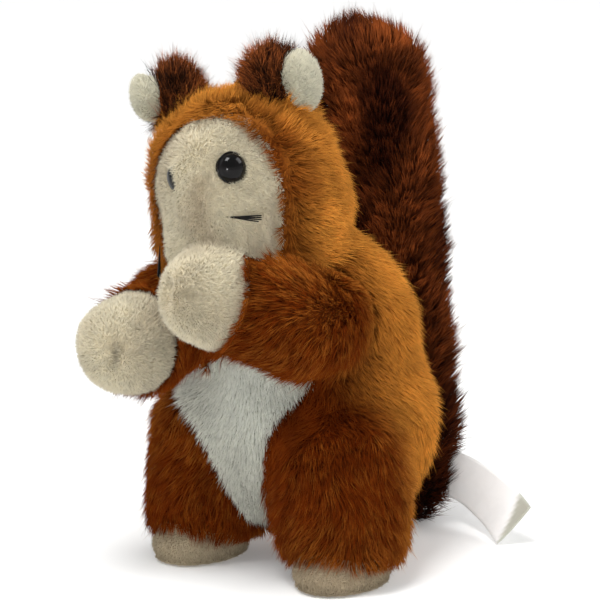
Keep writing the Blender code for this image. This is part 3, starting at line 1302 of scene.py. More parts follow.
@dataclass
class StuffedPiece:
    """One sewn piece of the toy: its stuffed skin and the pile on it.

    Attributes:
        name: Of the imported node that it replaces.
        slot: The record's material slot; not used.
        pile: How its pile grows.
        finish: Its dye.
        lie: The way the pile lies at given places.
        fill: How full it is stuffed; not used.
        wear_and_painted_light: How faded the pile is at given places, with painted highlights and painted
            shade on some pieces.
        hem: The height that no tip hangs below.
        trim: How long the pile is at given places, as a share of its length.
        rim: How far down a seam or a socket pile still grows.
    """

    name: str
    slot: str
    pile: Pile
    finish: PileFinish
    lie: Lie
    fill: float = 0.9
    wear_and_painted_light: WearAndPaintedLight = Fading(0.2, 0.2, 20.0).at
    hem: float = 0.5
    trim: WearAndPaintedLight = untrimmed
    rim: float = 0.02

    def make(self, form: SewnForm, groups: Groups) -> None:
        """Builds and dresses the skin and the coat.

        Args:
            form: The form under the pile.
            groups: The shared node groups.
        """
        self.rng = np.random.default_rng(SEED + sum(self.name.encode()))
        self.build_skin(form, groups)
        self.build_coat(groups)

    def build_skin(self, form: SewnForm, groups: Groups) -> None:
        """Cuts the piece's stuffed skin out of the form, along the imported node's seams.

        Args:
            form: The form under the pile.
            groups: The shared node groups.
        """
        work = bmesh.new()
        add_node_mesh(work, self.name, SEAM_PLAY)
        mesh = bpy.data.meshes.new(self.name)
        work.to_mesh(mesh)
        work.free()
        cutter = place(mesh, self.name + "_cutter")
        skin = place(form.thing.data.copy(), self.name + "_skin")
        part = skin.modifiers.new("seams", "BOOLEAN")
        part.operation = "INTERSECT"
        part.solver = "MANIFOLD"
        part.object = cutter
        apply_modifiers(skin)
        bpy.data.objects.remove(cutter)
        self.skin = skin
        mesh = skin.data
        mesh.materials.clear()
        mesh.materials.append(self.finish.material(self.name + "_backing", groups, tufts=False))
        mesh.shade_smooth()
        mesh.set_sharp_from_angle(angle=math.radians(SEAM_EDGE))
        unwrap(skin)
        # The fade attribute carries fading, and on some pieces painted highlights and painted shade.
        paint(mesh, "fade", self.wear_and_painted_light(mesh_points(mesh)))
        self.find_outside(form)
        self.ride(skin)
        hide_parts(self.name)
        log.info("%s: skin of %d faces", skin.name, len(mesh.polygons))

    def find_outside(self, form: SewnForm) -> None:
        """Keeps the triangles of the skin that lie on the form, where pile can grow.

        Args:
            form: The form under the pile.
        """
        mesh = self.skin.data
        points = mesh_points(mesh)
        triangles, loops = mesh_triangles(mesh)
        centres = points[triangles].mean(axis=1)
        nearest = [form.tree.find_nearest(centre)[3] for centre in centres.tolist()]
        outside = np.array(nearest) < self.rim
        self.triangles, self.loops = triangles[outside], loops[outside]
        self.points, self.normals = points, form.normals_near(points)
        flat = np.empty(len(mesh.loops) * 2, np.float32)
        mesh.uv_layers[0].uv.foreach_get("vector", flat)
        self.uv = flat.reshape(-1, 2).astype(float)

    def sow(self, density: float) -> Roots:
        """Spreads roots evenly over the outside of the skin.

        Args:
            density: Roots for each square millimetre.

        Returns:
            The roots.
        """
        corners = self.points[self.triangles]
        cross = np.cross(corners[:, 1] - corners[:, 0], corners[:, 2] - corners[:, 0])
        reach = np.cumsum(np.linalg.norm(cross, axis=1) / 2) * density
        ticks = np.arange(int(reach[-1])) + self.rng.random(int(reach[-1]))
        chosen = np.minimum(np.searchsorted(reach, ticks), len(reach) - 1)
        a, b = self.rng.random((2, len(chosen)))
        flip = a + b > 1
        a[flip], b[flip] = 1 - a[flip], 1 - b[flip]
        weights = np.stack([1 - a - b, a, b], axis=1)[..., None]
        points = (corners[chosen] * weights).sum(axis=1)
        normals = unit((self.normals[self.triangles[chosen]] * weights).sum(axis=1))
        uv = (self.uv[self.loops[chosen]] * weights).sum(axis=1)
        return Roots(points, normals, np.clip(uv, *UNWRAP_EDGES))

    def headings(self, roots: Roots) -> Points:
        """The way each tuft lies along the skin, with swirls and strays.

        Args:
            roots: Where the tufts grow.

        Returns:
            Directions along the skin, of length one.
        """
        lie = along_surface(self.lie(roots.points), roots.normals)
        aside = np.cross(roots.normals, lie)
        turn = np.radians(self.pile.sweep) * (
            swirl(roots.points, BROAD_SWIRLS, Swirl.LIE)
            + FINE_SHARE * swirl(roots.points, FINE_SWIRLS, Swirl.FINE_LIE)
        )
        turn += self.rng.normal(size=len(roots)) * self.pile.stray
        return lie * np.cos(turn)[:, None] + aside * np.sin(turn)[:, None]

    def tufts(self, roots: Roots) -> Tufts:
        """Grows tufts from roots and gathers them into clumps.

        Args:
            roots: Where they grow.

        Returns:
            The tufts.
        """
        pile, count = self.pile, len(roots)
        heading = self.headings(roots)
        wild = self.rng.normal(size=(count, 2)) * pile.stray
        rise = np.radians(pile.rise) * (1 + 0.5 * wild[:, 0])
        droop = np.radians(pile.droop) * (1 + wild[:, 1])
        lower = heading * np.cos(rise)[:, None] + roots.normals * np.sin(rise)[:, None]
        upper = heading * np.cos(droop)[:, None] + roots.normals * np.sin(droop)[:, None]
        guard = (self.rng.random(count) < pile.guard)[:, None]
        size = pile.length * self.rng.uniform(*LENGTHS, count)[:, None]
        size = np.where(guard, size * GUARD_LENGTH, size) * self.trim(roots.points)[:, None]
        start = roots.points - roots.normals * SUNK
        knee = start + lower * size * KNEE
        tip = knee + upper * size * (1 - KNEE)
        shade, tip, knee = self.gathered(roots.points, tip, knee, ~guard)
        knee, tip = self.above_hem(roots, knee), self.above_hem(roots, tip)
        run = unit(tip - start)
        first = unit(np.cross(run, roots.normals + heading * 0.01))
        second = np.cross(run, first)
        girth = pile.width / 2 * self.rng.uniform(*GIRTHS, count)[:, None]
        girth = np.where(guard, girth * GUARD_WIDTH, girth)
        turn = self.rng.uniform(0, 2 * math.pi, count)
        corners = [start]
        for k in range(3):
            angle = (turn + 2 * math.pi * k / 3)[:, None]
            corners.append(knee + (first * np.cos(angle) + second * np.sin(angle)) * girth)
        corners.append(tip)
        shades = np.repeat(shade[:, None], 5, axis=1)
        shades[:, 1:4] += self.rng.uniform(-STREAK, STREAK, (count, 3))
        return Tufts(np.stack(corners, axis=1), np.clip(shades, 0, 1), roots.uv)

    def above_hem(self, roots: Roots, points: Points) -> Points:
        """Lifts points that hang below the hem, and spreads them outwards.

        Args:
            roots: Where their tufts grow.
            points: One point of each tuft.

        Returns:
            The points, none of them much below the hem.
        """
        hem = self.hem + self.rng.uniform(0, HEM_FRAY, len(points))
        under = np.maximum(hem - points[:, 2], 0)
        outward = roots.normals * (1, 1, 0)
        lifted = points + outward * np.minimum(under, HEM_MOST)[:, None] * HEM_SPREAD
        lifted[:, 2] += under
        return lifted

    def gathered(
        self, roots: Points, tips: Points, knees: Points, joins: np.ndarray
    ) -> tuple[np.ndarray, Points, Points]:
        """Leans tufts to the tip of the clump that they belong to.

        Args:
            roots: Where the tufts grow.
            tips: Their tips.
            knees: Their bends.
            joins: Which of them lean.

        Returns:
            A shade for each tuft, and the new tips and bends.
        """
        count = len(roots)
        leaders = self.rng.choice(count, max(1, count // self.pile.clump), replace=False)
        tree = KDTree(len(leaders))
        for i, leader in enumerate(roots[leaders].tolist()):
            tree.insert(leader, i)
        tree.balance()
        mine = np.array([tree.find(root)[1] for root in roots.tolist()])
        pull = self.pile.gather * self.rng.uniform(*GATHERS, count)[:, None] * joins
        led = leaders[mine]
        new_tips = tips + (tips[led] - tips) * pull
        new_knees = knees + (knees[led] - knees) * pull * KNEE_GATHER
        clump_shade = self.rng.random(len(leaders))[mine]
        shade = 0.5 * clump_shade + 0.5 * self.rng.random(count)
        return shade, new_tips, new_knees

    def build_coat(self, groups: Groups) -> None:
        """Grows the pile and dresses it.

        Args:
            groups: The shared node groups.
        """
        tufts = self.tufts(self.sow(self.pile.density))
        material = self.finish.material(self.name + "_pile", groups, tufts=True)
        for piece in tufts.pieces(self.name + "_coat", self.wear_and_painted_light, self.pile.mottle):
            piece.data.materials.append(material)
            self.ride(piece)
            log.info("%s: %d triangles", piece.name, len(piece.data.polygons))

    def ride(self, piece: bpy.types.Object) -> None:
        """Fixes a piece to the toy."""
        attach(piece, "root")


def unwrap(thing: bpy.types.Object) -> None:
    """Unwraps an object's own shape into a map named OFBake.

    Args:
        thing: The object.
    """
    thing.data.uv_layers.new(name="OFBake")
    view = bpy.context.view_layer
    for other in view.objects.selected:
        other.select_set(False)
    thing.select_set(True)
    view.objects.active = thing
    bpy.ops.object.mode_set(mode="EDIT")
    bpy.ops.mesh.select_all(action="SELECT")
    bpy.ops.uv.smart_project(
        angle_limit=math.radians(UNWRAP_ANGLE), island_margin=UNWRAP_MARGIN
    )
    bpy.ops.object.mode_set(mode="OBJECT")
    thing.select_set(False)


# ---- Sub-assemblies ----


def fix_trim(piece: bpy.types.Object, node: str) -> None:
    """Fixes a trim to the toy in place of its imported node.

    Args:
        piece: The trim.
        node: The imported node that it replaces.
    """
    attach(piece, "root")
    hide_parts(node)
    log.info("%s: %d faces", piece.name, len(piece.data.polygons))


def main_axis(points: Points, number: int) -> Vector:
    """One of the axes of a cloud of points, from 0 for the longest to 2 for the shortest."""
    return Vector(np.linalg.svd(points, full_matrices=False)[2][number])


def combed(points: Points, x: np.ndarray | float, y: np.ndarray | float, z: float) -> Points:
    """Rows of one direction, of which parts may change from point to point."""
    return np.stack([np.broadcast_to(part, len(points)) for part in (x, y, z)], axis=1)


@dataclass
class Head:
    """The fur hood, the plush face, eyes, nose and whiskers.

    Attributes:
        face_push: How far in front of the face the hood's pile radiates from.
        back_comb: How far the hood's pile is combed back.
        back_span: Where that starts, behind the face's middle, and is complete, behind the head's.
        down_comb: How far it is combed down behind the face.
        down_span: Heights from the middle of the face between which that starts.
        fringe: How far from the face the hood's pile turns over it.
        fringe_lean: How far it turns.
        fringe_turn: The share of that turn, and how much it varies.
        fringe_pitch: The size of the locks between which it varies.
        fringe_trim: How much shorter the pile is there.
        brow: Heights above the middle of the face between which its brow starts.
        brow_fall: How much further the fringe turns there.
        roots_span: How far from the face its dark roots start to show, and show most.
        roots_side: How far left of its middle they show more.
        roots_dark: How much less faded they are, and how much more so on the left.
        hood_fading: Of the hood.
        face_fading: Of the face.
        face_lean: The way the face's plush leans.
        crease_heights: Of the points down the muzzle's seam, from between the eyes.
        crease: Depth and width of that seam.
        crease_shade: How much browner painted shade makes that seam.
        crease_shade_reach: How far from the seam the painted shade reaches.
        reach: A distance in front of the face.
        seam_plush: How far down the seams the face's plush grows.
        cheeks: Place, height and width of the bulges of the face.
        cheek_span: Heights between which they run.
        socket: Depth and width of the hollows that the eyes pull in.
        eye_rim: Width of the flat rim round an eye's dome.
        eye_rise: The dome's height, as a share of its solid's.
        eye_back: How far the flat back lies behind it, as a share of its height.
        eye_steps: Faces round it.
        eye_sink: How far the left and the right eye are pulled into the face.
        bristles: Whiskers in each bundle.
        bristle_width: Their radius.
        bristle_fan: How far their tips stand apart.
        bristle_root: How far they start behind their solid.
        bristle_ends: How far outer tips stay back, least and most, as shares of their spread.
        stitches: Threads across the nose.
        stitch_widths: Their radius at points from one end to the other.
        nose_size: Its width, depth and height, as shares of its solid's.
    """

    face_push: float = 6.0
    back_comb: float = 0.5
    back_span: Span = (-5.0, 15.0)
    down_comb: float = 0.55
    down_span: Span = (20.0, -30.0)
    fringe: float = 5.0
    fringe_lean: float = 1.5
    fringe_turn: tuple[float, float] = (1.1, 0.7)
    fringe_pitch: float = 4.0
    fringe_trim: float = 0.3
    brow: Span = (12.0, 26.0)
    brow_fall: float = 0.8
    roots_span: Span = (8.0, 1.0)
    roots_side: Span = (2.0, 22.0)
    roots_dark: tuple[float, float] = (0.5, 0.2)
    hood_fading: Fading = Fading(0.86, 0.16, 22.0)
    face_fading: Fading = Fading(0.06, 0.16, 9.0, Swirl.PLUSH_DYE)
    face_lean: Place = (0.15, 0.0, -0.6)
    crease_heights: range = range(-2, -40, -6)
    crease: tuple[float, float] = (2.2, 2.2)
    crease_shade: float = 0.34
    crease_shade_reach: float = 4.0
    reach: float = 14.0
    seam_plush: float = 1.5
    cheeks: tuple[Place, ...] = ((-1.0, 2.4, 8.0), (-9.0, 1.8, 5.0))
    cheek_span: Span = (4.0, -10.0)
    socket: tuple[float, float] = (2.2, 7.0)
    eye_rim: float = 0.7
    eye_rise: float = 1.05
    eye_back: float = 0.8
    eye_steps: int = 40
    eye_sink: tuple[float, float] = (1.3, 3.2)
    bristles: int = 4
    bristle_width: float = 0.27
    bristle_fan: float = 1.15
    bristle_root: float = 2.0
    bristle_ends: Span = (0.3, 1.6)
    stitches: int = 13
    stitch_widths: tuple[float, ...] = (0.22, 0.34, 0.38, 0.38, 0.38, 0.34, 0.22)
    nose_size: Place = (0.95, 0.62, 0.72)

    def muzzle_frame(self) -> Matrix:
        """The muzzle's own frame: +X to its left eye, +Z up the face, -Y out of it.

        Returns:
            A matrix whose origin is midway between the eyes.
        """
        left, right, nose = (Vector(centre_of(n)) for n in ("eye_left", "eye_right", "nose"))
        middle = (left + right) / 2
        across = (left - right).normalized()
        up = (middle - nose).normalized()
        back = up.cross(across).normalized()
        up = across.cross(back)
        turn = Matrix((across, back, up)).transposed().to_4x4()
        return Matrix.Translation(middle) @ turn

    def hood_lie(self, points: Points) -> Points:
        """Away from the face, then back and down, but over the face at its edge.

        Args:
            points: Where the pile grows.

        Returns:
            Directions, of any length.
        """
        face, head = centre_of("face"), centre_of("head")
        away = unit(points - face - np.array((0, -self.face_push, 0)))
        behind = eased(points[:, 1], face[1] + self.back_span[0], head[1] + self.back_span[1])
        low = eased(points[:, 2], face[2] + self.down_span[0], face[2] + self.down_span[1])
        push = np.zeros_like(points)
        push[:, 1] = self.back_comb * behind
        push[:, 2] = -self.down_comb * np.maximum(behind, low)
        edge = eased(distance_to("face", points), self.fringe, 1)
        turn, uneven = self.fringe_turn
        over = edge * (turn + uneven * swirl(points, self.fringe_pitch, Swirl.FRINGE))
        over = over * (1 + self.brow_fall * self.on_brow(points))
        return away * (1 - self.fringe_lean * over)[:, None] + push

    def hood_trim(self, points: Points) -> np.ndarray:
        """Shorter beside the face, where the seam holds the pile, but not over its brow."""
        edge = eased(distance_to("face", points), self.fringe, 1)
        return 1 - self.fringe_trim * edge * (1 - self.on_brow(points))

    def on_brow(self, points: Points) -> np.ndarray:
        """How far points lie above the middle of the face, from 0 to 1 at its top edge."""
        return eased(points[:, 2] - centre_of("face")[2], *self.brow)

    def hood_wear(self, points: Points) -> np.ndarray:
        """Faded all over but for the dark roots that show beside the face, most on its left.

        Args:
            points: Where the pile grows.

        Returns:
            How faded it is there, from 0 to 1.
        """
        beside = eased(distance_to("face", points), *self.roots_span)
        leftward = eased(points[:, 0] - centre_of("face")[0], *self.roots_side)
        dark = beside * (self.roots_dark[0] + self.roots_dark[1] * leftward)
        return self.hood_fading.at(points, -dark)

    def face_lie(self, points: Points) -> Points:
        """Out from the middle of the face, over its seam."""
        return unit(points - centre_of("face")) + np.array(self.face_lean)

    def face_wear_and_shade(self, points: Points) -> np.ndarray:
        """Browner along the muzzle's seam and round the nose, with painted shade in its crease."""
        # Painted shade in the muzzle's crease, on top of the face's random fading.
        apart = line_distance(points, np.array(self.muzzle_seam()))
        return self.face_fading.at(points, self.crease_shade * np.exp(-((apart / self.crease_shade_reach) ** 2)))

    def muzzle_seam(self) -> list[Place]:
        """Points down the seam in the middle of the muzzle."""
        return [self.on_face(0, height) for height in self.crease_heights]

    def on_face(self, across: float, up: float) -> Place:
        """The place on the face's skin that is nearest to one just in front of it.

        Args:
            across: To the toy's left of the middle between the eyes.
            up: Above it.

        Returns:
            The place.
        """
        pose = self.muzzle_frame()
        back = pose.to_3x3() @ Vector((0, 1, 0))
        near = node_tree("face").find_nearest(pose @ Vector((across, -self.reach, up)))[0]
        return tuple(near + back * PLUSH.depth)

    def pieces(self) -> list[StuffedPiece]:
        """The sewn pieces of the head.

        Returns:
            The hood and the face.
        """
        hood = StuffedPiece(
            "head", "head_pile", LONG_PILE, GINGER, self.hood_lie, wear_and_painted_light=self.hood_wear, trim=self.hood_trim
        )
        face = StuffedPiece(
            "face", "face_plush", PLUSH, CREAM, self.face_lie, wear_and_painted_light=self.face_wear_and_shade, rim=self.seam_plush
        )
        return [hood, face]

    def furrows(self) -> list[Furrow]:
        """The seam down the muzzle, its cheeks and the sockets that the eyes pull in.

        Returns:
            The furrows.
        """
        found = [Furrow(tuple(self.muzzle_seam()), *self.crease)]
        for across, height, width in self.cheeks:
            line = tuple(self.on_face(across, up) for up in self.cheek_span)
            found.append(Furrow(line, -height, width))
        for side in Side:
            eye = tuple(centre_of(f"eye_{side.value}"))
            found.append(Furrow((eye, eye), *self.socket))
        return found

    def build_eye(self, side: Side, groups: Groups) -> None:
        """A moulded safety eye: a dome on a thin flat rim, with a flat back.

        Args:
            side: Which eye.
            groups: The shared node groups.
        """
        node = f"eye_{side.value}"
        middle = Vector(centre_of(node))
        points = mesh_points(frame["nodes"][node].data) - np.array(middle)
        outward = main_axis(points, 2)
        if outward.dot(middle - Vector(centre_of("head"))) < 0:
            outward.negate()
        middle -= outward * self.eye_sink[side is Side.RIGHT]
        radius = float(np.linalg.norm(points, axis=1).max())
        height = float(np.abs(points @ np.array(outward)).max())
        dome, back = radius - self.eye_rim, -height * self.eye_back
        arc = [
            (dome * math.cos(a), height * self.eye_rise * math.sin(a))
            for a in np.linspace(0, math.pi / 2, 14)[1:]
        ]
        rim = [(radius, -0.5), (radius, -0.1), (radius - 0.2, 0.08), (dome + 0.15, 0.1)]
        profile = [(0, back), (dome, back), (dome, -0.5), *rim, *arc]
        work = bmesh.new()
        outline = [work.verts.new((x, 0, z)) for x, z in profile]
        edges = [work.edges.new(pair) for pair in zip(outline, outline[1:])]
        bmesh.ops.spin(
            work,
            geom=[*outline, *edges],
            cent=(0, 0, 0),
            axis=(0, 0, 1),
            angle=2 * math.pi,
            steps=self.eye_steps,
        )
        bmesh.ops.remove_doubles(work, verts=work.verts, dist=0.001)
        turn = outward.to_track_quat("Z", "Y").to_matrix().to_4x4()
        bmesh.ops.transform(work, matrix=Matrix.Translation(middle) @ turn, verts=work.verts)
        eye = placed_work(work, node + "_dome")
        eye.data.set_sharp_from_angle(angle=math.radians(EYE_EDGE))
        eye.data.materials.append(BLACK_PLASTIC.material(node + "_plastic", groups))
        fix_trim(eye, node)

    def build_whiskers(self, side: Side, groups: Groups) -> None:
        """A bundle of stiff bristles that part at their ends.

        Args:
            side: Which cheek.
            groups: The shared node groups.
        """
        node = f"whiskers_{side.value}"
        points = mesh_points(frame["nodes"][node].data)
        middle = points.mean(axis=0)
        run = main_axis(points - middle, 0)
        if run.dot(Vector(middle) - Vector(centre_of("face"))) < 0:
            run.negate()
        half = float(np.abs((points - middle) @ np.array(run)).max())
        root, tip = Vector(middle) - run * (half + self.bristle_root), Vector(middle) + run * half
        upward = self.muzzle_frame().to_3x3() @ Vector((0, 0, 1))
        across = (upward - run * run.dot(upward)).normalized()
        rng = np.random.default_rng(SEED + side.sign)
        work = bmesh.new()
        for i in range(self.bristles):
            spread = (i / (self.bristles - 1) - 0.5) * 2 * self.bristle_fan
            end = tip + across * spread - run * abs(spread) * rng.uniform(*self.bristle_ends)
            line = [root.lerp(end, share) for share in (0, 0.35, 0.7, 0.97, 1)]
            line[1] += across * spread * -0.1
            tube(work, line, [self.bristle_width * w for w in (0.5, 0.8, 1.0, 0.95, 0.55)])
        made = placed_work(work, node + "_bristles")
        made.data.materials.append(BLACK_BRISTLE.material(node + "_nylon", groups))
        fix_trim(made, node)

    def build_nose(self, groups: Groups) -> None:
        """An embroidered nose: satin threads side by side over a small pad.

        Args:
            groups: The shared node groups.
        """
        low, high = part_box("nose")
        centre = (low + high) / 2 / MM
        half = max(high.x - low.x, high.z - low.z) / 2 / MM
        wide, deep, tall = (half * share for share in self.nose_size)
        placed = Matrix.Translation(centre) @ self.muzzle_frame().to_3x3().to_4x4()
        work = bmesh.new()
        for across in np.linspace(-1, 1, self.stitches):
            reach = tall * math.sqrt(1 - 0.9 * across**2)
            line = []
            for step in np.linspace(-1, 1, len(self.stitch_widths)):
                bulge = math.sqrt(max(0.0, 1 - 0.8 * step**2 - 0.4 * across**2))
                line.append(placed @ Vector((across * wide, -deep * bulge, step * reach)))
            tube(work, line, self.stitch_widths, sides=6)
        made = placed_work(work, "nose_stitches")
        made.data.materials.append(BLACK_THREAD.material("nose_thread", groups))
        fix_trim(made, "nose")

    def build_trims(self, groups: Groups) -> None:
        """Builds eyes, whiskers and nose.

        Args:
            groups: The shared node groups.
        """
        for side in Side:
            self.build_eye(side, groups)
            self.build_whiskers(side, groups)
        self.build_nose(groups)


@dataclass
class Ear:
    """An ear with a furry back and a plush lining.

    Attributes:
        side: Which ear.
        root_drop: How far under the middle of its back the pile radiates from.
        lean: The way the pile leans besides.
        rust_span: How far from the lining its black pile turns rusty.
        rust: How much more faded it is there.
        fading: Of the back.
        back_fill: How full the back is stuffed.
        lining_fill: How full the lining is.
    """

    side: Side
    root_drop: float = 16.0
    lean: Place = (0.0, 0.15, 0.5)
    rust_span: Span = (7.0, 19.0)
    rust: float = 0.72
    fading: Fading = Fading(0.08, 0.3, 7.0)
    back_fill: float = 0.7
    lining_fill: float = 0.6

    def lie(self, points: Points) -> Points:
        """Up and out from the head."""
        root = centre_of(f"ear_pile_{self.side.value}") - np.array((0.0, 0.0, self.root_drop))
        return unit(points - root) + np.array(self.lean)

    def wear_and_painted_light(self, points: Points) -> np.ndarray:
        """Black beside the lining, rusty away from it."""
        away = eased(distance_to(f"ear_lining_{self.side.value}", points), *self.rust_span)
        return self.fading.at(points, self.rust * away)

    def pieces(self) -> list[StuffedPiece]:
        """The sewn pieces of the ear.

        Returns:
            Its back and its lining.
        """
        back, lining = f"ear_pile_{self.side.value}", f"ear_lining_{self.side.value}"
        return [
            StuffedPiece(
                back, "ear_pile", EAR_PILE, EAR_DARK, self.lie, fill=self.back_fill, wear_and_painted_light=self.wear_and_painted_light
            ),
            StuffedPiece(
                lining, "ear_lining", LINING_PLUSH, LINING, self.lie, fill=self.lining_fill
            ),
        ]


@dataclass
class Body:
    """The trunk and its white belly panel.

    Attributes:
        fill: How full both are stuffed.
        back_comb: How far the trunk's pile is combed back as it runs down.
        back_span: From where to where, front to back, the trunk gets faded.
        back_faded: How much more faded its back is.
        trunk_fading: Of the trunk.
        belly_part: How far from its middle the belly's pile would lie at 45 degrees.
        paw_shadow_span: Heights between which painted shadow greys the belly under the paws.
        paw_shadow: How much of the worn colour is painted there as that shadow.
        belly_fading: Of the belly.
    """

    fill: float = 0.95
    back_comb: float = 0.45
    back_span: Span = (-30.0, 2.0)
    back_faded: float = 0.8
    trunk_fading: Fading = Fading(0.02, 0.1, 24.0)
    belly_part: float = 60.0
    paw_shadow_span: Span = (84.0, 108.0)
    paw_shadow: float = 0.6
    belly_fading: Fading = Fading(0.1, 0.1, 20.0)

    def trunk_lie(self, points: Points) -> Points:
        """Down, and back along the flanks."""
        return combed(points, 0, self.back_comb, -1)

    def trunk_wear(self, points: Points) -> np.ndarray:
        """Faded on the back and the flanks, dark in front under the arms."""
        behind = eased(points[:, 1], *self.back_span)
        return self.trunk_fading.at(points, self.back_faded * behind)

    def belly_lie(self, points: Points) -> Points:
        """Down and a little to both sides."""
        return combed(points, (points[:, 0] - centre_of("belly")[0]) / self.belly_part, 0, -1)

    def belly_wear_and_shadow(self, points: Points) -> np.ndarray:
        """Greyer at the top, with painted shadow under the paws."""
        top = eased(points[:, 2], *self.paw_shadow_span)
        # Painted shadow under the paws, on top of the belly's random fading.
        return self.belly_fading.at(points, self.paw_shadow * top)

    def pieces(self) -> list[StuffedPiece]:
        """The sewn pieces of the body.

        Returns:
            The trunk and the belly.
        """
        trunk = StuffedPiece(
            "trunk", "body_pile", LONG_PILE, GINGER, self.trunk_lie, self.fill, self.trunk_wear
        )
        belly = StuffedPiece(
            "belly", "belly_pile", BELLY_PILE, WHITE, self.belly_lie, self.fill, self.belly_wear_and_shadow
        )
        return [trunk, belly]


@dataclass
class Arm:
    """An arm and its plush paw.

    Attributes:
        side: Which arm.
        hang: How far its pile hangs down.
        neck: The height of the neck, from which the shoulder's pile radiates.
        along_span: From where to where along the arm its pile turns to the paw.
        top_span: Heights between which a painted highlight makes the arm paler on top.
        top_highlight: How much paler that painted highlight makes it.
        rear_span: From where to where, front to back, it gets faded to the shoulder.
        rear_faded: How much more faded it is there.
        arm_fading: Of the arm.
        paw_fading: Of the paw.
        palm_turn: How far each palm turns to the toy's left of the arm's own direction.
        slit: Half the height of the slit that the pucker holds shut.
        slit_width: How far round it the plush is brown and short, with painted shade.
        slit_brown_and_shade: How much browner it is, partly brown pile and partly painted shade in the
            fold.
        slit_trim: How much shorter it is.
        pucker: Depth and width of the hollow that stitching pulls in there.
        pucker_half: Half its height.
        gathers: Creases round the pucker.
        gather: Their depth and width.
        gather_span: How far from the pucker they start and end.
        gather_fall: How far behind the palm they end.
        gather_turn: How far the first is turned, as a share of their spacing.
    """

    side: Side
    hang: float = 0.55
    neck: float = 138.0
    along_span: Span = (-30.0, 4.0)
    top_span: Span = (104.0, 126.0)
    top_highlight: float = 0.14
    rear_span: Span = (-30.0, -6.0)
    rear_faded: float = 0.6
    arm_fading: Fading = Fading(0.0, 0.08, 20.0)
    paw_fading: Fading = Fading(0.06, 0.16, 9.0, Swirl.PLUSH_DYE)
    palm_turn: dict[Side, float] = field(
        default_factory=lambda: {Side.LEFT: 0.0, Side.RIGHT: 40.0}
    )
    slit: float = 3.0
    slit_width: float = 2.4
    slit_brown_and_shade: float = 1.2
    slit_trim: float = 0.75
    pucker: tuple[float, float] = (6.5, 2.8)
    pucker_half: float = 2.5
    gathers: int = 9
    gather: tuple[float, float] = (0.8, 1.8)
    gather_span: Span = (3.0, 13.0)
    gather_fall: float = 5.0
    gather_turn: float = 0.3

    def reach(self) -> Points:
        """The direction from the arm's middle to its paw."""
        side = self.side.value
        return unit(centre_of(f"paw_{side}") - centre_of(f"arm_{side}"))

    def arm_lie(self, points: Points) -> Points:
        """From the neck over the shoulder, then along the arm to the paw and hanging down.

        Args:
            points: Where the pile grows.

        Returns:
            Directions, of any length.
        """
        middle = centre_of(f"arm_{self.side.value}")
        share = eased((points - middle) @ self.reach(), *self.along_span)[:, None]
        neck = centre_of("trunk") * (1, 1, 0) + (0.0, 0.0, self.neck)
        along = self.reach() - (0.0, 0.0, self.hang)
        return unit(points - neck) * (1 - share) + along * share

    def arm_wear_and_highlight(self, points: Points) -> np.ndarray:
        """Dark, with a painted highlight that makes it paler on top, and a little faded where it meets the
        shoulder.

        Args:
            points: Where the pile grows.

        Returns:
            How faded it is there, from 0 to 1.
        """
        top = eased(points[:, 2], *self.top_span)
        rear = eased(points[:, 1], *self.rear_span)
        # The paler top is a painted highlight.
        return self.arm_fading.at(points, self.top_highlight * top + self.rear_faded * rear)

    def paw_lie(self, points: Points) -> Points:
        """Out from the pucker in the middle of the paw."""
        return points - self.palm()

    def paw_wear_and_shade(self, points: Points) -> np.ndarray:
        """Browner in the pucker, partly brown pile and partly painted shade in its fold."""
        # Partly painted shade in the pucker's fold.
        return self.paw_fading.at(points, self.slit_brown_and_shade * self.puckered(points))

    def paw_trim(self, points: Points) -> np.ndarray:
        """Short where the pucker holds the pile."""
        return 1 - self.slit_trim * self.puckered(points)

    def puckered(self, points: Points) -> np.ndarray:
        """How much places belong to the upright slit of the pucker, from 0 to 1."""
        ends = self.palm() + np.array(((0, 0, self.slit), (0, 0, -self.slit)))
        return np.exp(-((line_distance(points, ends) / self.slit_width) ** 2))

    def facing(self) -> Points:
        """The way the palm faces: out of the arm, turned about the upright axis."""
        turn = Matrix.Rotation(math.radians(self.palm_turn[self.side]), 3, "Z")
        return np.array(turn @ Vector(self.reach()))

    def palm(self) -> Points:
        """The middle of the palm's skin."""
        surface = surface_towards(f"paw_{self.side.value}", self.facing())
        return surface - self.facing() * PLUSH.depth

    def furrows(self) -> list[Furrow]:
        """The pucker where the paw's gathers meet, and the gathers round it.

        Returns:
            The furrows.
        """
        ahead, palm = self.facing(), self.palm()
        across = unit(np.cross(ahead, np.array((0.0, 0.0, 1.0))))
        upward = np.cross(across, ahead)
        ends = palm + upward * self.pucker_half, palm - upward * self.pucker_half
        found = [Furrow(tuple(tuple(end) for end in ends), *self.pucker)]
        start, end = self.gather_span
        for k in range(self.gathers):
            angle = 2 * math.pi * (k + self.gather_turn) / self.gathers
            spoke = across * math.cos(angle) + upward * math.sin(angle)
            ends = palm + spoke * start, palm + spoke * end - ahead * self.gather_fall
            found.append(Furrow(tuple(tuple(end_at) for end_at in ends), *self.gather))
        return found

    def pieces(self) -> list[StuffedPiece]:
        """The sewn pieces of the arm.

        Returns:
            The arm and its paw.
        """
        side = self.side.value
        arm = StuffedPiece(
            f"arm_{side}", "arm_pile", LIMB_PILE, GINGER, self.arm_lie, wear_and_painted_light=self.arm_wear_and_highlight
        )
        paw = StuffedPiece(
            f"paw_{side}", "paw_plush", PLUSH, CREAM, self.paw_lie, wear_and_painted_light=self.paw_wear_and_shade, trim=self.paw_trim
        )
        return [arm, paw]


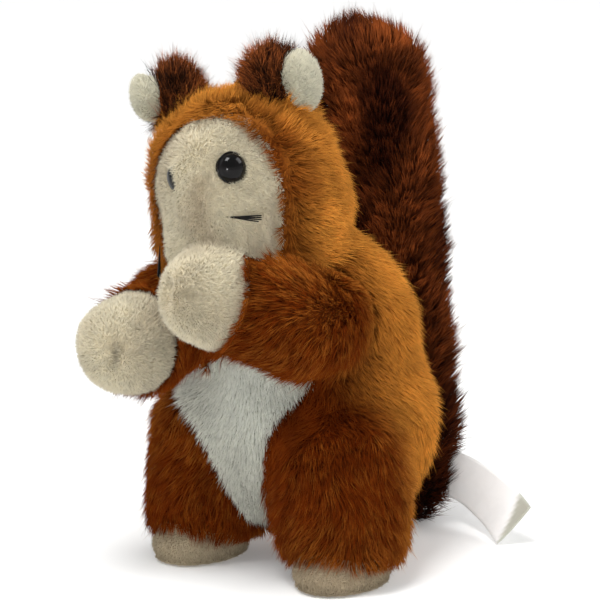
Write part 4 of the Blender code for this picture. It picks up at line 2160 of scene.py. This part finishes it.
@dataclass
class Leg:
    """A leg, whose pile hangs over a plush foot.

    Attributes:
        side: Which leg.
        hem: The height above the floor that its pile hangs down to.
        fill: How full it is stuffed.
        behind_span: From where to where, front to back, it gets faded.
        behind_faded: How much more faded it is behind.
        outer_span: How far out from its middle a painted highlight makes it paler.
        outer_highlight: How much paler that painted highlight makes it.
        fading: Of the leg.
        flare_span: Heights between which its pile turns out to the hem.
        flare: How far it turns.
        foot_fall: How far the foot's plush turns down.
    """

    side: Side
    hem: float = 6.5
    fill: float = 0.95
    behind_span: Span = (-24.0, 4.0)
    behind_faded: float = 0.78
    outer_span: Span = (16.0, 32.0)
    outer_highlight: float = 0.14
    fading: Fading = Fading(0.0, 0.08, 20.0)
    flare_span: Span = (26.0, 12.0)
    flare: float = 0.35
    foot_fall: float = 1.2

    def leg_wear_and_highlight(self, points: Points) -> np.ndarray:
        """Faded behind, paler on the outer side with a painted highlight, dark in front.

        Args:
            points: Where the pile grows.

        Returns:
            How faded it is there, from 0 to 1.
        """
        middle = centre_of(f"leg_{self.side.value}")
        behind = eased(points[:, 1], *self.behind_span)
        outer = eased((points[:, 0] - middle[0]) * self.side.sign, *self.outer_span)
        # The paler outer side is a painted highlight.
        return self.fading.at(points, self.behind_faded * behind + self.outer_highlight * outer)

    def leg_lie(self, points: Points) -> Points:
        """Straight down, and out at the hem.

        Args:
            points: Where the pile grows.

        Returns:
            Directions, of any length.
        """
        middle = centre_of(f"leg_{self.side.value}")
        outward = unit(points[:, :2] - middle[:2]) * self.flare
        outward *= eased(points[:, 2], *self.flare_span)[:, None]
        return combed(points, outward[:, 0], outward[:, 1], -1)

    def foot_lie(self, points: Points) -> Points:
        """Outwards and down to the floor."""
        outward = unit(points - centre_of(f"foot_{self.side.value}"))
        return outward - (0.0, 0.0, self.foot_fall)

    def pieces(self) -> list[StuffedPiece]:
        """The sewn pieces of the leg.

        Returns:
            The leg and its foot.
        """
        side = self.side.value
        leg = StuffedPiece(
            f"leg_{side}", "leg_pile", LIMB_PILE, GINGER, self.leg_lie, self.fill, self.leg_wear_and_highlight, self.hem
        )
        foot = StuffedPiece(f"foot_{side}", "foot_plush", FOOT_PLUSH, FOOT, self.foot_lie)
        return [leg, foot]


@dataclass
class Tail:
    """The tall bushy tail.

    Attributes:
        part: How far from its middle the tail's pile would lie at 45 degrees.
        side_span: How far from its middle it gets rustier.
        top_span: Heights between which it does.
        rust: How much rustier it is there.
        streaks: Width of the rusty patches, as a share of their height.
        fading: Of the tail.
    """

    part: float = 90.0
    side_span: Span = (14.0, 28.0)
    top_span: Span = (185.0, 208.0)
    rust: float = 0.24
    streaks: float = 0.3
    fading: Fading = Fading(0.18, 0.34, 6.5)

    def lie(self, points: Points) -> Points:
        """Up the tail, and out to both sides."""
        return combed(points, (points[:, 0] - centre_of("tail")[0]) / self.part, 0, 1)

    def wear_and_painted_light(self, points: Points) -> np.ndarray:
        """Rusty patches among black ones, more of them at the sides and on top.

        Args:
            points: Where the pile grows.

        Returns:
            How faded it is there, from 0 to 1.
        """
        side = eased(np.abs(points[:, 0] - centre_of("tail")[0]), *self.side_span)
        top = eased(points[:, 2], *self.top_span)
        return self.fading.at(points * (1, 1, self.streaks), self.rust * np.maximum(side, top))

    def pieces(self) -> list[StuffedPiece]:
        """The sewn piece of the tail."""
        return [StuffedPiece("tail", "tail_pile", TAIL_PILE, DARK, self.lie, wear_and_painted_light=self.wear_and_painted_light)]


@dataclass
class SewnLabel:
    """A blank ribbon label that twists as it hangs, with a corner at its free end that turns over and has
    grey shade painted on it.

    Attributes:
        path: Its middle line from the seam to the free end, apart from its place on the toy.
        leans: How far its upper edge leans outward at each of those points.
        bearing: Which way it leans.
        width: Of the ribbon.
        rows: Steps across it.
        columns: Steps along it.
        hem: Width of the folded hem.
        thickness: Of the ribbon, which is double at the hem.
        ripple: How far it waves off its run.
        waves: How far the ripple turns along the label and across it, in radians.
        corner: How far from the free end the fold of its corner starts on the upper edge.
        turn: How far that corner turns over.
        turn_reach: How far past the fold it has turned that far.
        shade_ramp: Over which distance the painted shade on the turned corner starts.
    """

    path: tuple[Place, ...] = (
        (19, 89.5, 22),
        (27.8, 88.6, 20.3),
        (39.5, 84.4, 17),
        (50.8, 79.5, 13.1),
        (62, 72.5, 8.4),
    )
    leans: tuple[float, ...] = (0, 8, 20, 33, 44)
    bearing: float = 35.0
    width: float = 21.0
    rows: int = 14
    columns: int = 32
    hem: float = 2.4
    thickness: float = 0.35
    ripple: float = 0.4
    waves: tuple[float, float] = (9.0, 2.2)
    corner: float = 10.0
    turn: float = 30.0
    turn_reach: float = 9.0
    shade_ramp: float = 1.5

    def steps(self) -> np.ndarray:
        """How far along the label each point of its path lies."""
        runs = np.linalg.norm(np.diff(np.array(self.path, float), axis=0), axis=1)
        return np.concatenate([[0], np.cumsum(runs)])

    def spread(self, length: float) -> Points:
        """The label's even sheet as a grid of points, column by column from the seam.

        Args:
            length: Of the label.

        Returns:
            The points, as (columns + 1, rows + 1, 3).
        """
        path, steps = np.array(self.path, float), self.steps()
        places = np.linspace(0, length, self.columns + 1)
        middle = np.stack([eased_line(places, steps, path[:, i]) for i in range(3)], axis=1)
        leans = np.radians(eased_line(places, steps, np.array(self.leans, float)))
        bearing = math.radians(self.bearing)
        outward = np.array((math.cos(bearing), math.sin(bearing), 0.0))
        upward = np.array((0.0, 0.0, 1.0))
        across = np.sin(leans)[:, None] * outward + np.cos(leans)[:, None] * upward
        halves = np.linspace(-self.width / 2, self.width / 2, self.rows + 1)
        return middle[:, None] + across[:, None] * halves[None, :, None]

    def past_fold(self, length: float) -> np.ndarray:
        """How far each point of the grid lies past the line where the corner turns over.

        Args:
            length: Of the label.

        Returns:
            Distances, as (columns + 1, rows + 1).
        """
        along = np.linspace(0, length, self.columns + 1)[:, None] - length
        up = np.linspace(0, self.width, self.rows + 1)[None]
        return (along * self.width + up * self.corner) / math.hypot(self.corner, self.width)

    def rippled(self, grid: Points, past: np.ndarray) -> Points:
        """The sheet with its ripple and its turned corner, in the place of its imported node.

        Args:
            grid: The even sheet.
            past: How far its points lie past the fold of the corner.

        Returns:
            The points.
        """
        normal = unit(np.cross(np.gradient(grid, axis=0), np.gradient(grid, axis=1)))
        share = np.linspace(0, 1, self.columns + 1)[:, None]
        up = np.linspace(0, 1, self.rows + 1)[None]
        wave = np.sin(share * self.waves[0] + up * self.waves[1]) * self.ripple * share
        curl = math.radians(self.turn) / (2 * self.turn_reach)
        wave = wave + np.clip(past, 0, None) ** 2 * curl
        grid = grid + normal * wave[:, :, None]
        middle = (grid.min(axis=(0, 1)) + grid.max(axis=(0, 1))) / 2
        return grid + centre_of("label") - middle

    def build(self, groups: Groups) -> None:
        """Builds and dresses the label.

        Args:
            groups: The shared node groups.
        """
        length = float(self.steps()[-1])
        past = self.past_fold(length)
        grid = self.rippled(self.spread(length), past)
        work = bmesh.new()
        made = [[work.verts.new(point) for point in column] for column in grid]
        for left, right in zip(made, made[1:]):
            for k in range(self.rows):
                work.faces.new((left[k], right[k], right[k + 1], left[k + 1]))
        label = placed_work(work, "label_ribbon")
        # Painted shade, grey on the turned corner past its fold.
        paint(label.data, "painted_shade", np.clip(past / self.shade_ramp + 0.5, 0, 1).ravel())
        folded = label.vertex_groups.new(name="folded")
        plain = self.columns - round(self.hem / length * self.columns)
        first = plain * (self.rows + 1)
        folded.add(list(range(first)), 0.5, "REPLACE")
        folded.add(list(range(first, len(label.data.vertices))), 1.0, "REPLACE")
        cloth = label.modifiers.new("cloth", "SOLIDIFY")
        cloth.thickness = 2 * self.thickness * MM
        cloth.vertex_group = folded.name
        cloth.offset = 0
        apply_modifiers(label)
        label.data.materials.append(RIBBON.material("label_satin", groups))
        fix_trim(label, "label")


@dataclass
class Studio:
    """A pale floor, soft light and the camera.

    Attributes:
        azimuth: Of the camera, to the toy's left of its front.
        elevation: Of the camera above the toy.
        distance: From the camera to what it looks at.
        lens: Focal length for the standard 36 mm sensor.
        aim: What it looks at, from the middle of the toy's box.
        floor_radius: Of the floor, which fills the view.
        floor_tones: The two tones of the floor.
        floor_glow: Two distances in metres, and how much the floor glows there.
        sky_fall: Two heights on the sky, from 0 to 1, and how bright it is there.
        lamps: The name, place, width and power in watts of each light.
        aim_height: The height that the lights face.
        clip: The nearest and the furthest thing that the camera sees, in metres.
    """

    azimuth: float = 35.0
    elevation: float = 9.5
    distance: float = 900.0
    lens: float = 135.0
    aim: Place = (-0.1, -8.2, -1.6)
    floor_radius: float = 40_000.0
    floor_tones: tuple[Colour, Colour] = ((0.86, 0.86, 0.85), (0.90, 0.90, 0.89))
    floor_glow: tuple[float, float, float, float] = (0.3, 1.6, 0.14, 0.57)
    sky_fall: tuple[float, float, float, float] = (0.05, 0.3, 1.0, 0.47)
    lamps: tuple[tuple[str, Place, float, float], ...] = (
        ("key", (60, -580, 1450), 600, 19),
        ("fill", (-1100, -500, 800), 900, 1.5),
        ("back", (900, 700, 1000), 700, 7),
        ("lamp", (540, -1000, 150), 150, 2.4),
    )
    aim_height: float = 110.0
    clip: Span = (0.05, 50.0)

    def build(self) -> None:
        """Builds floor, lights, sky and camera."""
        self.build_floor()
        for lamp in self.lamps:
            self.build_light(*lamp)
        self.build_sky()
        self.build_camera()
        log.info("studio: %d lights", len(self.lamps))

    def build_floor(self) -> None:
        """A round pale floor that runs far out behind the toy."""
        work = bmesh.new()
        bmesh.ops.create_circle(work, cap_ends=True, segments=64, radius=self.floor_radius)
        floor = placed_work(work, "floor", smooth=False)
        made, sheet, shader = new_material("pale floor")
        place_from = sheet.add("ShaderNodeTexCoord").outputs["Object"]
        mask = sheet.between(sheet.noise(6.0, 4.0, place_from), 0.3, 0.7)
        sheet.link(sheet.mix(mask, *self.floor_tones), shader.inputs["Base Color"])
        shader.inputs["Roughness"].default_value = 0.9
        away = sheet.add("ShaderNodeVectorMath", operation="LENGTH")
        sheet.link(place_from, away.inputs[0])
        shine = sheet.between(away.outputs["Value"], *self.floor_glow)
        shader.inputs["Emission Color"].default_value = (1.0, 1.0, 1.0, 1)
        sheet.link(shine, shader.inputs["Emission Strength"])
        floor.data.materials.append(made)

    def build_light(self, name: str, place_at: Place, size: float, watts: float) -> None:
        """A soft square light that faces the toy.

        Args:
            name: The light's name.
            place_at: Where it is.
            size: The length of its side.
            watts: Its power.
        """
        lamp = bpy.data.lights.new(name, "AREA")
        lamp.size = size * MM
        lamp.energy = watts
        thing = bpy.data.objects.new(name, lamp)
        bpy.context.scene.collection.objects.link(thing)
        thing.location = Vector(place_at) * MM
        target = Vector((0, 0, self.aim_height * MM))
        thing.rotation_euler = (target - thing.location).to_track_quat("-Z", "Y").to_euler()

    def build_sky(self) -> None:
        """A white sky, brightest at the horizon and dimmer above it."""
        world = bpy.data.worlds.new("pale studio")
        world.use_nodes = True
        sheet = NodeSheet(world.node_tree)
        sky = world.node_tree.nodes["Background"]
        sky.inputs["Color"].default_value = (1.0, 1.0, 1.0, 1)
        split = sheet.add("ShaderNodeSeparateXYZ")
        sheet.link(sheet.add("ShaderNodeTexCoord").outputs["Generated"], split.inputs[0])
        sheet.link(sheet.between(split.outputs["Z"], *self.sky_fall), sky.inputs["Strength"])
        bpy.context.scene.world = world
        bpy.context.scene.view_settings.view_transform = "Standard"

    def build_camera(self) -> None:
        """The camera, in front of the toy's left and a little above it."""
        a, e = math.radians(self.azimuth), math.radians(self.elevation)
        back = Vector((math.sin(a) * math.cos(e), -math.cos(a) * math.cos(e), math.sin(e)))
        target = (CAD_BOX[0] + CAD_BOX[1]) / 2 + Vector(self.aim) * MM
        lens = bpy.data.cameras.new("camera")
        lens.lens = self.lens
        lens.clip_start, lens.clip_end = self.clip
        camera = bpy.data.objects.new("camera", lens)
        bpy.context.scene.collection.objects.link(camera)
        camera.location = target + back * self.distance * MM
        camera.rotation_euler = (-back).to_track_quat("-Z", "Y").to_euler()
        bpy.context.scene.camera = camera


# ---- The whole toy ----


def main() -> None:
    """Builds the toy and the studio round it."""
    logging.basicConfig(level=logging.INFO, format="%(message)s")
    groups = Groups()
    head, body, tail = Head(), Body(), Tail()
    arms, legs = [Arm(side) for side in Side], [Leg(side) for side in Side]
    ears = [Ear(side) for side in Side]
    parts = [head, *ears, body, *arms, *legs, tail]
    pieces = [piece for part in parts for piece in part.pieces()]

    depths = {piece.name: piece.pile.depth for piece in pieces}
    depths |= {node: PLUSH.depth for node in ("eye_left", "eye_right", "nose")}
    furrows = head.furrows() + [furrow for arm in arms for furrow in arm.furrows()]
    form = SewnForm(depths, furrows=furrows)
    form.build()

    for piece in pieces:
        piece.make(form, groups)
    bpy.data.objects.remove(form.thing)
    head.build_trims(groups)
    SewnLabel().build(groups)
    Studio().build()


if __name__ == "__main__":
    main()
